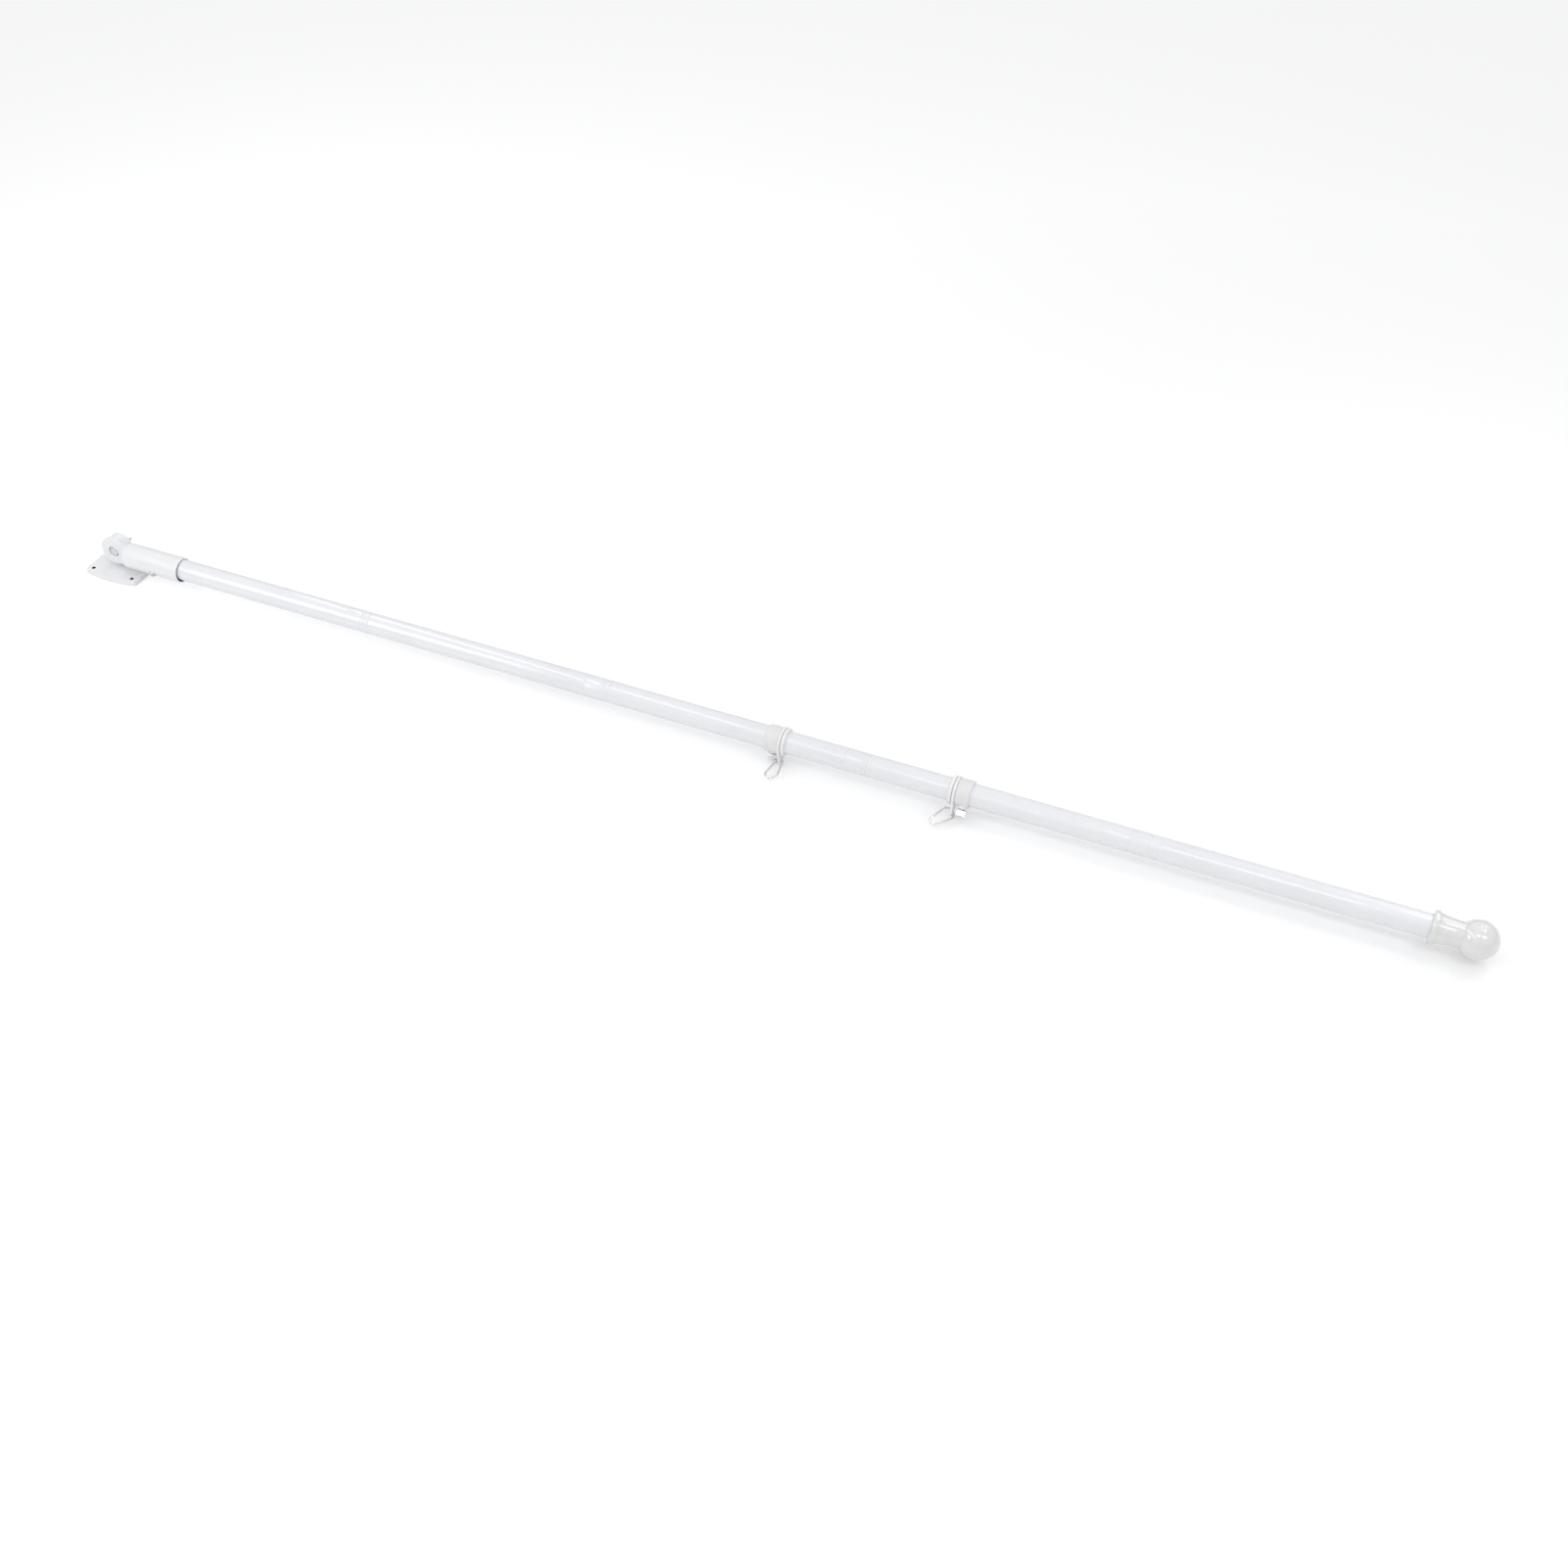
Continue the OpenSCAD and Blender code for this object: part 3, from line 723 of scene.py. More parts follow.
def smudge_group():
    """Soft cloudy marks left by handling, and a few fine scuffs"""
    group, given, result = effect_group("Handling marks", [
        ("Vector", "NodeSocketVector", (0, 0, 0)), ("Scale", "NodeSocketFloat", 30.0),
        ("Scuff scale", "NodeSocketFloat", 300.0)],
        [("Smudge", "NodeSocketFloat"), ("Scuffs", "NodeSocketFloat")])
    cloud = node(group, "ShaderNodeTexNoise", Detail=4.0, Roughness=0.6, Distortion=0.8)
    group.links.new(given.outputs["Vector"], cloud.inputs["Vector"])
    group.links.new(given.outputs["Scale"], cloud.inputs["Scale"])
    group.links.new(ramp(group, cloud.outputs["Fac"], 0.42, 0.72), result.inputs["Smudge"])
    scuff = node(group, "ShaderNodeTexNoise", Detail=6.0, Roughness=0.7, Distortion=2.5)
    group.links.new(given.outputs["Vector"], scuff.inputs["Vector"])
    group.links.new(given.outputs["Scuff scale"], scuff.inputs["Scale"])
    band = math_node(group, "ABSOLUTE", math_node(group, "SUBTRACT", scuff.outputs["Fac"], 0.5))
    fine = ramp(group, band, 0.012, 0.0)
    group.links.new(math_node(group, "MULTIPLY", fine, ramp(
        group, cloud.outputs["Fac"], 0.5, 0.65)), result.inputs["Scuffs"])
    return group


def lines_group():
    """Fine lines drawn out along one axis, as brushing, drawing or polishing leaves"""
    group, given, result = effect_group("Drawn lines", [
        ("Vector", "NodeSocketVector", (0, 0, 0)),
        ("Stretch", "NodeSocketVector", (8.0, 900.0, 900.0))],
        [("Height", "NodeSocketFloat"), ("Tone", "NodeSocketFloat")])
    pull = node(group, "ShaderNodeVectorMath", operation="MULTIPLY")
    group.links.new(given.outputs["Vector"], pull.inputs[0])
    group.links.new(given.outputs["Stretch"], pull.inputs[1])
    grain = node(group, "ShaderNodeTexNoise", Scale=1.0, Detail=3.0, Roughness=0.65)
    group.links.new(pull.outputs["Vector"], grain.inputs["Vector"])
    group.links.new(grain.outputs["Fac"], result.inputs["Height"])
    group.links.new(ramp(group, grain.outputs["Fac"], 0.3, 0.7), result.inputs["Tone"])
    return group


def edge_group():
    """Masks for the outer edges, which wear bright, and the inside corners, which the finishes darken as
    painted shade
    """
    group, given, result = effect_group("Edges and corners", [
        ("Softness", "NodeSocketFloat", 0.06)],
        [("Edge", "NodeSocketFloat"), ("Corner", "NodeSocketFloat")])
    form = group.nodes.new("ShaderNodeNewGeometry")
    bend = math_node(group, "SUBTRACT", form.outputs["Pointiness"], 0.5)
    out = math_node(group, "DIVIDE", bend, given.outputs["Softness"])
    group.links.new(ramp(group, out, 0.15, 1.0), result.inputs["Edge"])
    # Corner mask: the inside corners, where the finishes paint shade
    group.links.new(ramp(group, math_node(group, "MULTIPLY", out, -1), 0.15, 1.0),
                    result.inputs["Corner"])
    return group


def effect(tree, name, builder, **values):
    """Places a shared effect in a material with its own values"""
    placed_group = tree.nodes.new("ShaderNodeGroup")
    placed_group.node_tree = bpy.data.node_groups.get(name) or builder()
    for label, value in values.items():
        placed_group.inputs[label.replace("_", " ")].default_value = value
    if "Vector" in placed_group.inputs:
        coords = tree.nodes.new("ShaderNodeTexCoord")
        tree.links.new(coords.outputs["Object"], placed_group.inputs["Vector"])
    return placed_group


# ---------- finishes ----------


def start_material(name, **fixed):
    """A material whose Principled shader has these plain values"""
    made = bpy.data.materials.new(name)
    made.use_nodes = True
    shader = made.node_tree.nodes["Principled BSDF"]
    for label, value in fixed.items():
        shader.inputs[label.replace("_", " ")].default_value = value
    return made, made.node_tree, shader


def tinted(tree, below, above, mask):
    """A colour that goes from one to the other by a mask"""
    mix = node(tree, "ShaderNodeMix", data_type="RGBA")
    for slot, value in ((mix.inputs["A"], below), (mix.inputs["B"], above)):
        if isinstance(value, bpy.types.NodeSocket):
            tree.links.new(value, slot)
        else:
            slot.default_value = value
    tree.links.new(mask, mix.inputs["Factor"])
    return mix.outputs["Result"]


def shade(color, factor, warmth=0.0):
    """A colour made lighter or darker, and a little warmer or cooler"""
    return (color[0] * factor * (1 + warmth), color[1] * factor,
            color[2] * factor * (1 - warmth), 1.0)


def bumped(tree, shader, heights, strength, distance):
    """Joins the heights, each with its weight, into the shader's normal"""
    total = None
    for value, weight in heights:
        part = math_node(tree, "MULTIPLY", value, weight)
        total = part if total is None else math_node(tree, "ADD", total, part)
    bump = node(tree, "ShaderNodeBump", Strength=strength, Distance=distance)
    tree.links.new(total, bump.inputs["Height"])
    tree.links.new(bump.outputs["Normal"], shader.inputs["Normal"])


def roughened(tree, shader, base, marks):
    """Roughness that rises from its base by each mask times its weight"""
    total = base
    for value, weight in marks:
        total = math_node(tree, "ADD", math_node(tree, "MULTIPLY", value, weight), total)
    tree.links.new(total, shader.inputs["Roughness"])


def cast_enamel(color):
    """Powder-coated casting: slight ripple, painted shade in the corners, polished edges"""
    made, tree, shader = start_material("Cast enamel", IOR=1.5, Coat_Weight=0.25,
                                        Coat_Roughness=0.12)
    skin = effect(tree, "Coat skin", coat_skin_group, Scale=420.0, Speck_scale=1100.0)
    marks = effect(tree, "Handling marks", smudge_group, Scale=38.0, Scuff_scale=260.0)
    edges = effect(tree, "Edges and corners", edge_group, Softness=0.07)
    tone = tinted(tree, shade(color, 1.0), shade(color, 0.965, -0.006), marks.outputs["Smudge"])
    # Painted shade: the inside corners are darkened
    tone = tinted(tree, tone, shade(color, 0.72, 0.01), edges.outputs["Corner"])
    tone = tinted(tree, tone, shade(color, 1.04), edges.outputs["Edge"])
    tree.links.new(tone, shader.inputs["Base Color"])
    roughened(tree, shader, 0.3, [(marks.outputs["Smudge"], 0.08), (marks.outputs["Scuffs"], 0.15),
                                  (edges.outputs["Corner"], 0.2)])
    bumped(tree, shader, [(skin.outputs["Height"], 1.0), (marks.outputs["Scuffs"], -0.3)],
           0.35, 0.00006)
    return made


def tube_coat(color):
    """Gloss coat on drawn tube: long drawn lines under a smooth, lightly marked skin"""
    made, tree, shader = start_material("Tube coat", IOR=1.5, Coat_Weight=0.45,
                                        Coat_Roughness=0.06)
    skin = effect(tree, "Coat skin", coat_skin_group, Scale=260.0, Speck_scale=700.0)
    lines = effect(tree, "Drawn lines", lines_group, Stretch=(6.0, 700.0, 700.0))
    marks = effect(tree, "Handling marks", smudge_group, Scale=14.0, Scuff_scale=150.0)
    edges = effect(tree, "Edges and corners", edge_group, Softness=0.08)
    tone = tinted(tree, shade(color, 1.0), shade(color, 0.985, -0.004), lines.outputs["Tone"])
    tone = tinted(tree, tone, shade(color, 0.96, -0.008), marks.outputs["Smudge"])
    # Painted shade: the grooves and inside corners are darkened
    tone = tinted(tree, tone, shade(color, 0.7), edges.outputs["Corner"])
    tree.links.new(tone, shader.inputs["Base Color"])
    roughened(tree, shader, 0.15, [(marks.outputs["Smudge"], 0.06),
                                   (marks.outputs["Scuffs"], 0.12), (skin.outputs["Specks"], 0.1)])
    bumped(tree, shader, [(skin.outputs["Height"], 0.6), (lines.outputs["Height"], 0.5),
                          (marks.outputs["Scuffs"], -0.3)], 0.25, 0.00005)
    return made


def moulded_nylon(name, color):
    """Moulded plastic: satin, with a fine mould texture and flow marks"""
    made, tree, shader = start_material(name, IOR=1.5, Subsurface_Weight=0.06,
                                        Subsurface_Scale=0.002)
    skin = effect(tree, "Coat skin", coat_skin_group, Scale=900.0, Speck_scale=2200.0)
    marks = effect(tree, "Handling marks", smudge_group, Scale=70.0, Scuff_scale=420.0)
    edges = effect(tree, "Edges and corners", edge_group, Softness=0.08)
    tone = tinted(tree, shade(color, 1.0), shade(color, 0.955, 0.006), marks.outputs["Smudge"])
    # Painted shade: the inside corners are darkened
    tone = tinted(tree, tone, shade(color, 0.7, 0.01), edges.outputs["Corner"])
    tree.links.new(tone, shader.inputs["Base Color"])
    roughened(tree, shader, 0.34, [(marks.outputs["Smudge"], 0.1), (skin.outputs["Specks"], 0.08)])
    bumped(tree, shader, [(skin.outputs["Height"], 1.0), (marks.outputs["Scuffs"], -0.25)],
           0.3, 0.00004)
    return made


def ball_gloss(color):
    """High gloss plastic of the finial"""
    made, tree, shader = start_material("Ball gloss", IOR=1.5, Coat_Weight=0.9,
                                        Coat_Roughness=0.03)
    skin = effect(tree, "Coat skin", coat_skin_group, Scale=110.0, Speck_scale=800.0)
    marks = effect(tree, "Handling marks", smudge_group, Scale=45.0, Scuff_scale=240.0)
    edges = effect(tree, "Edges and corners", edge_group, Softness=0.09)
    tone = tinted(tree, shade(color, 1.0), shade(color, 0.97, -0.006), marks.outputs["Smudge"])
    # Painted shade: the inside corners, such as the cap's neck, are darkened
    tone = tinted(tree, tone, shade(color, 0.66), edges.outputs["Corner"])
    tree.links.new(tone, shader.inputs["Base Color"])
    roughened(tree, shader, 0.05, [(marks.outputs["Smudge"], 0.05),
                                   (marks.outputs["Scuffs"], 0.12)])
    bumped(tree, shader, [(skin.outputs["Height"], 0.3), (marks.outputs["Scuffs"], -0.1)],
           0.08, 0.00006)
    return made


def plated_metal(name, color, polish, stretch):
    """Plated metal: tone that clouds, fine lines, painted shade in the corners and bright edges"""
    made, tree, shader = start_material(name, Metallic=1.0)
    lines = effect(tree, "Drawn lines", lines_group, Stretch=stretch)
    marks = effect(tree, "Handling marks", smudge_group, Scale=120.0, Scuff_scale=700.0)
    edges = effect(tree, "Edges and corners", edge_group, Softness=0.09)
    tone = tinted(tree, shade(color, 1.0), shade(color, 0.86, 0.012), marks.outputs["Smudge"])
    # Painted shade: the inside corners are darkened strongly
    tone = tinted(tree, tone, shade(color, 0.42), edges.outputs["Corner"])
    tone = tinted(tree, tone, shade(color, 1.12), edges.outputs["Edge"])
    tree.links.new(tone, shader.inputs["Base Color"])
    roughened(tree, shader, polish, [(marks.outputs["Smudge"], 0.08), (lines.outputs["Tone"], 0.06),
                                     (edges.outputs["Corner"], 0.25)])
    bumped(tree, shader, [(lines.outputs["Height"], 1.0), (marks.outputs["Scuffs"], -0.5)],
           0.3, 0.00004)
    return made


def finish(name, builder, *values):
    """The material of that name, built the first time it is asked for"""
    return bpy.data.materials.get(name) or builder(*values)


def enamel(sizes):
    """The bracket's enamel"""
    return finish("Cast enamel", cast_enamel, sizes.enamel_color)


def bright_steel(sizes):
    """The plated steel of the bracket's fasteners"""
    return finish("Plated steel", plated_metal, "Plated steel", sizes.steel_color, 0.3,
                  (260.0, 260.0, 260.0))


# ---------- the bracket ----------


def plate_outline():
    """The wall plate seen from the front: straight ends and bowed long sides"""
    middle = Vector(((PLATE_LOW.x + PLATE_HIGH.x) / 2, 0))
    length = PLATE_HIGH.x - PLATE_LOW.x
    width = PLATE_HIGH.y - PLATE_LOW.y
    radius = ((length / 2) ** 2 + PLATE_BOW ** 2) / (2 * PLATE_BOW)
    reach = asin(length / 2 / radius)
    near = arc((0, radius - width / 2), radius, -pi / 2 - reach, -pi / 2 + reach, 24)
    far = arc((0, width / 2 - radius), radius, pi / 2 - reach, pi / 2 + reach, 24)
    corners = near + far
    radii = [0] * len(corners)
    for k in (0, len(near) - 1, len(near), len(corners) - 1):
        radii[k] = PLATE_CORNER
    return [p + middle for p in rounded(corners, radii, closed=True)]


def ear_outline(radius, drop):
    """The plate's ear seen along the hinge: a round top on a foot"""
    foot = radius + 0.5 * MM
    side = atan2(-drop, foot) + acos(radius / sqrt(foot ** 2 + drop ** 2))
    feet = [Vector((-foot, -drop)), Vector((foot, -drop))]
    return feet + arc((0, 0), radius, side, pi - side, 56)


def screw_hole(spot, top):
    """A cutter for one wall screw, its upper rim broken a little"""
    cutter = lathe([(-2 * MM, 0), (-2 * MM, HOLE_R), (top - 0.25 * MM, HOLE_R),
                    (top + 0.75 * MM, HOLE_R + 1 * MM), (top + 0.75 * MM, 0)], 40)
    return placed(cutter, x_upright((*spot, 0)))


def paint_bore_shade(obj, inside):
    """Gives the faces for which inside() is true a dark metal that paints the shade inside a drilled hole
    or bore
    """
    # Painted shade: a dark grey metal stands for the shade deep inside the hole
    obj.data.materials.append(finish("Bare casting", plated_metal, "Bare casting",
                                     (0.2, 0.2, 0.205), 0.5, (300.0, 300.0, 300.0)))
    for polygon in obj.data.polygons:
        if inside(polygon.center):
            polygon.material_index = 1


class FLAGPOLE_OT_wall_plate(bpy.types.Operator):
    """Make the cast wall plate, with its upright ear and four screw holes"""

    bl_idname = "flagpole.wall_plate"
    bl_label = "Wall Plate"

    def execute(self, context):
        sizes = context.scene.flagpole_bracket
        coat = enamel(sizes)
        top = sizes.plate_thickness
        plate = prism(plate_outline(), 0, top)
        ear = prism(ear_outline(sizes.ear_radius, AXIS_Z - 1 * MM), -PLATE_EAR[1], -PLATE_EAR[0])
        body = carved(context, plate, placed(ear, hinge_plane()), "UNION")
        foot = cast(context, body, sizes.cast_grain, 7)
        middle = (PLATE_LOW.x + PLATE_HIGH.x) / 2
        along, across = SCREW_SPREAD
        spots = [Vector((middle + x * along, y * across)) for x in (-1, 1) for y in (-1, 1)]
        for spot in spots:
            foot = carved(context, foot, screw_hole(spot, top))
        bore = cylinder(0, 20 * MM, sizes.bolt_radius, 48)
        foot = carved(context, foot, placed(bore, across_hinge()))
        plate = add_piece(context, "wall_plate", foot, coat, "bracket", ["base_plate"])
        # The screw holes' walls get painted shade, a dark metal
        paint_bore_shade(plate, lambda p: p.z < top - 0.2 * MM and min(
            (p.xy - spot).length for spot in spots) < HOLE_R + 0.03 * MM)
        return {"FINISHED"}


class FLAGPOLE_OT_hinge_bolt(bpy.types.Operator):
    """Make the hinge bolt, its washer and its wing nut"""

    bl_idname = "flagpole.hinge_bolt"
    bl_label = "Hinge Bolt"

    def execute(self, context):
        sizes = context.scene.flagpole_bracket
        steel = bright_steel(sizes)
        low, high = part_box("pivot_bolt")
        washer_low, washer_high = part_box("pivot_washer")
        nut_low, nut_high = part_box("wing_nut")
        radius = sizes.bolt_radius - 0.06 * MM
        head = HEAD_HEIGHT
        crest = radius - 0.05 * MM
        core = radius - 0.4 * MM
        shank = lathe(rounded([(low.y + head * 0.5, 0), (low.y + head * 0.5, radius),
                               (nut_low.y - 0.5 * MM, radius), (nut_low.y, core),
                               (high.y - 0.8 * MM, core), (high.y, core - 0.7 * MM), (high.y, 0)],
                              0.1 * MM), 48)
        corners = arc((0, 0), 5.6 * MM, 0, 2 * pi, 6)[:-1]
        hexagon = prism(rounded(corners, 0.35 * MM, closed=True), 0, head)
        dome = lathe([(-0.1 * MM, 0), (-0.1 * MM, 4.6 * MM), (0.75 * MM, 5.75 * MM),
                      (head + 1 * MM, 5.75 * MM), (head + 1 * MM, 0)], 72)
        hexagon = carved(context, hexagon, placed(dome, x_upright()), "INTERSECT")
        head_place = axes((0, low.y, AXIS_Z), (1, 0, 0), (0, 0, -1))
        bolt = merged(placed(shank, across_hinge()), placed(hexagon, head_place))
        ridges = thread(context, steel, crest - 0.3 * MM, sizes.thread_pitch,
                        high.y - nut_low.y - 1.2 * MM, 0.36 * MM)
        thread_place = axes((0, nut_low.y + 0.4 * MM, AXIS_Z), (1, 0, 0), (0, 0, -1))
        bolt = merged(bolt, placed(ridges, thread_place))
        add_piece(context, "hinge_bolt", bolt, steel, "bracket", ["pivot_bolt"])
        washer = lathe(rounded([(washer_low.y, radius + 0.3 * MM), (washer_low.y, WASHER_R),
                                (washer_high.y, WASHER_R), (washer_high.y, radius + 0.3 * MM)],
                               0.3 * MM, closed=True), 72, closed=True)
        add_piece(context, "hinge_washer", placed(washer, across_hinge()), steel, "bracket",
                  ["pivot_washer"])
        hub = lathe(rounded([(nut_low.y, core + 0.4 * MM), (nut_low.y, 5.5 * MM),
                             (nut_low.y + 1.6 * MM, 5.5 * MM), (nut_high.y, 4.4 * MM),
                             (nut_high.y, core + 0.4 * MM)], 0.4 * MM, closed=True), 72,
                    closed=True)
        nut = placed(hub, across_hinge())
        for way in (-1, 1):
            wing = prism(rounded([(4.2 * MM, -2.6 * MM), (8.2 * MM, -3.9 * MM),
                                  (10.5 * MM, -1.2 * MM), (10.3 * MM, 2.8 * MM),
                                  (7.2 * MM, 4.2 * MM), (4.0 * MM, 1.2 * MM)],
                                 1.8 * MM, closed=True, steps=6), -1.3 * MM, 1.3 * MM, 0.7 * MM)
            # A wing's outline stands in a plane that holds the bolt's axis
            lean = axes((0, nut_low.y + 3.0 * MM, AXIS_Z),
                        (way * cos(sizes.wing_turn), 0, way * sin(sizes.wing_turn)), (0, 1, 0))
            nut = merged(nut, placed(wing, lean))
        add_piece(context, "wing_nut", nut, steel, "bracket", ["wing_nut"])
        return {"FINISHED"}


def paddle_outline(radius, socket_radius):
    """The socket's hinge disc and the web that joins it to the socket"""
    web = 10 * MM
    end = 22 * MM
    fillet = 8 * MM
    across = sqrt((radius + fillet) ** 2 - (web + fillet) ** 2)
    centre = (across, web + fillet)
    meet = atan2(web + fillet, across)
    upper = arc(centre, fillet, -pi / 2, meet - pi, 10)
    disc = arc((0, 0), radius, meet, 1.5 * pi, 64)
    return ([Vector((end, -socket_radius + 2 * MM)), Vector((end, web))] + upper
            + disc[1:])


class FLAGPOLE_OT_pole_socket(bpy.types.Operator):
    """Make the socket that holds the pole, its hinge disc and its small screw"""

    bl_idname = "flagpole.pole_socket"
    bl_label = "Pole Socket"

    def execute(self, context):
        sizes = context.scene.flagpole_bracket
        coat = enamel(sizes)
        steel = bright_steel(sizes)
        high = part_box("pole_socket")[1]
        turn, push = sizes.screw_turn, sizes.pole_push
        radius = high.y + push * sin(turn)
        mouth = high.x
        outer = lathe(rounded([(SOCKET_BACK, 0), (SOCKET_BACK, radius), (mouth, radius),
                               (mouth, 0)], [0, 5 * MM, 0, 0], steps=8), 128)
        middle = Vector((0, -push * sin(turn), AXIS_Z - push * cos(turn)))
        place = axes(middle, (1, 0, 0), (0, 1, 0))
        paddle = prism(paddle_outline(sizes.disc_radius, radius), -PADDLE[1], -PADDLE[0])
        body = carved(context, placed(outer, place), placed(paddle, hinge_plane()), "UNION")
        screw_low, screw_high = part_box("socket_screw")
        screw_x = (screw_low.x + screw_high.x) / 2
        base = radius + push + 0.6 * MM
        boss = cylinder(12 * MM, base, 4.8 * MM, 40)
        out = outward(screw_x, turn)
        body = carved(context, body, placed(boss, out), "UNION")
        bore = cylinder(SOCKET_BOTTOM, mouth + 5 * MM, sizes.bore_radius, 128)
        body = cast(context, body, sizes.cast_grain, 6)
        body = carved(context, body, placed(bore, place))
        recess = lathe([(PADDLE[0] - 2 * MM, 0), (PADDLE[0] - 2 * MM, 6.9 * MM),
                        (PADDLE[0], 6.9 * MM), (PADDLE[0] + 0.4 * MM, 6.7 * MM),
                        (PADDLE[0] + 3.4 * MM, 6.7 * MM), (PADDLE[0] + 3.4 * MM, sizes.bolt_radius),
                        (PADDLE[1] + 2 * MM, sizes.bolt_radius), (PADDLE[1] + 2 * MM, 0)], 64)
        body = carved(context, body, placed(recess, across_hinge()))
        body = carved(context, body, placed(cylinder(8 * MM, 22 * MM, DRILL_R, 32), out))
        socket = add_piece(context, "pole_socket", body, coat, "pole", ["pole_socket"])
        # The bore's wall gets painted shade, a dark metal
        paint_bore_shade(socket, lambda p: SOCKET_BOTTOM - 0.1 * MM < p.x < mouth - 0.6 * MM and
                    (p.yz - middle.yz).length < sizes.bore_radius + 0.02 * MM)
        head = HEAD_HEIGHT
        reach = base + head - TUBE_R
        screw = lathe(rounded([(0, 0), (0, 3.1 * MM), (1.2 * MM, 3.8 * MM), (head, 3.8 * MM),
                               (head, 1.7 * MM), (reach - 0.4 * MM, 1.7 * MM),
                               (reach, 1.3 * MM), (reach, 0)],
                              [0, 1 * MM, 0.6 * MM, 0.3 * MM, 0, 0.1 * MM, 0.1 * MM, 0]), 48)
        slot_cut = prism([Vector((-4 * MM, -0.5 * MM)), Vector((4 * MM, -0.5 * MM)),
                          Vector((4 * MM, 0.5 * MM)), Vector((-4 * MM, 0.5 * MM))],
                         -1 * MM, 1.3 * MM)
        screw = carved(context, screw, placed(slot_cut, z_along()))
        away = Vector((0, -sin(turn), -cos(turn)))
        inward = axes(Vector((screw_x, 0, AXIS_Z)) + away * (base + head), -away, (1, 0, 0))
        ridges = thread(context, steel, 1.72 * MM, 0.7 * MM, reach - head - 1.2 * MM, 0.24 * MM)
        wind = inward @ z_along() @ Matrix.Translation((0, 0, head + 0.4 * MM))
        screw = merged(placed(screw, inward), placed(ridges, wind))
        add_piece(context, "socket_screw", screw, steel, "pole", ["socket_screw"])
        return {"FINISHED"}


# ---------- the pole ----------


class FLAGPOLE_OT_tube_sections(bpy.types.Operator):
    """Make the five tube sections, with rolled grooves past each seam"""

    bl_idname = "flagpole.tube_sections"
    bl_label = "Tube Sections"

    def execute(self, context):
        sizes = context.scene.flagpole_pole
        coat = finish("Tube coat", tube_coat, sizes.coat_color)
        grooves = shape("Rolled grooves", groove_tree)
        for number in range(1, 6):
            low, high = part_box(f"tube_section_{number}")
            length = high.x - low.x
            inner = TUBE_R - sizes.wall
            edge = sizes.end_round
            spots = [length * k / 6 for k in range(1, 6)]
            if number > 1:
                spots += [sizes.groove_start - 3.2 * MM + 0.22 * MM * k for k in range(70)]
            outer = [(x, TUBE_R) for x in sorted(spots)]
            lip = rounded([(0, inner), (0, TUBE_R), (length / 3, TUBE_R)], edge)
            end = rounded([(length * 2 / 3, TUBE_R), (length, TUBE_R), (length, inner)], edge)
            tube = lathe([tuple(p) for p in lip[:-1]] + outer + [tuple(p) for p in end[1:]],
                         96, closed=True)
            if number > 1:
                tube = grown(context, grooves, coat, base=tube, Start=sizes.groove_start,
                             Pitch=sizes.groove_pitch, Count=sizes.groove_count,
                             Depth=sizes.groove_depth, Width=sizes.groove_width,
                             Skin=inner + 0.5 * sizes.wall)
            add_piece(context, f"tube_{number}", placed(tube, on_pole(low.x)), coat, "pole",
                      [f"tube_section_{number}"], crease=50)
        plug = finish("Bare aluminium", plated_metal, "Bare aluminium", (0.72, 0.73, 0.74),
                      0.35, (20.0, 900.0, 900.0))
        for number in range(1, 5):
            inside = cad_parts[f"joint_plug_{number}"]
            inside.data.materials.clear()
            inside.data.materials.append(plug)
        return {"FINISHED"}


# ---------- the rings ----------


def ring_outline(ring, ear, distance):
    """The turning ring seen along the pole: a disc with a round ear on local X"""
    lean = asin((ring - ear) / distance)
    corners = arc((0, 0), ring, pi / 2 - lean, 1.5 * pi + lean, 72)
    corners += arc((distance, 0), ear, lean - pi / 2, pi / 2 - lean, 32)
    return corners


def collar_mesh(context, side, sizes, sleeve, out):
    """The clamping collar and its boss, drilled for the thumbscrew"""
    low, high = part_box(side + "_collar")
    near, far = sorted(FACING[side] * (x - RING_X[side]) for x in (low.x, high.x))
    bore = TUBE_R + 0.08 * MM
    body = lathe(rounded([(near, bore), (near, sleeve), (TRACK_END, sleeve),
                          (TRACK_END, sizes.collar_radius), (far, sizes.collar_radius),
                          (far, bore)],
                         [0.2 * MM, 0.5 * MM, 0, 0.5 * MM, 1.1 * MM, 0.2 * MM],
                         closed=True), 128, closed=True)
    boss = lathe(rounded([(13.2 * MM, 0), (13.2 * MM, 5.9 * MM), (15.2 * MM, 4.7 * MM),
                          (17.6 * MM, 4.7 * MM), (17.6 * MM, 0)],
                         [0, 0, 1.6 * MM, 0.7 * MM, 0]), 56)
    drill = cylinder(8 * MM, 22 * MM, DRILL_R, 32)
    place = on_pole(RING_X[side], FACING[side])
    body = carved(context, placed(body, place), placed(boss, out), "UNION")
    return carved(context, body, placed(drill, out))


def retainer_mesh(side, sleeve):
    """The ring that keeps the turning ring on the collar's sleeve"""
    near, far = RETAINER
    bore = sleeve + 0.02 * MM
    stop = lathe(rounded([(near, bore), (near, RETAINER_R), (far, RETAINER_R), (far, bore)],
                         [0.1 * MM, 0.9 * MM, 0.5 * MM, 0.1 * MM], closed=True), 128,
                 closed=True)
    return placed(stop, on_pole(RING_X[side], FACING[side]))


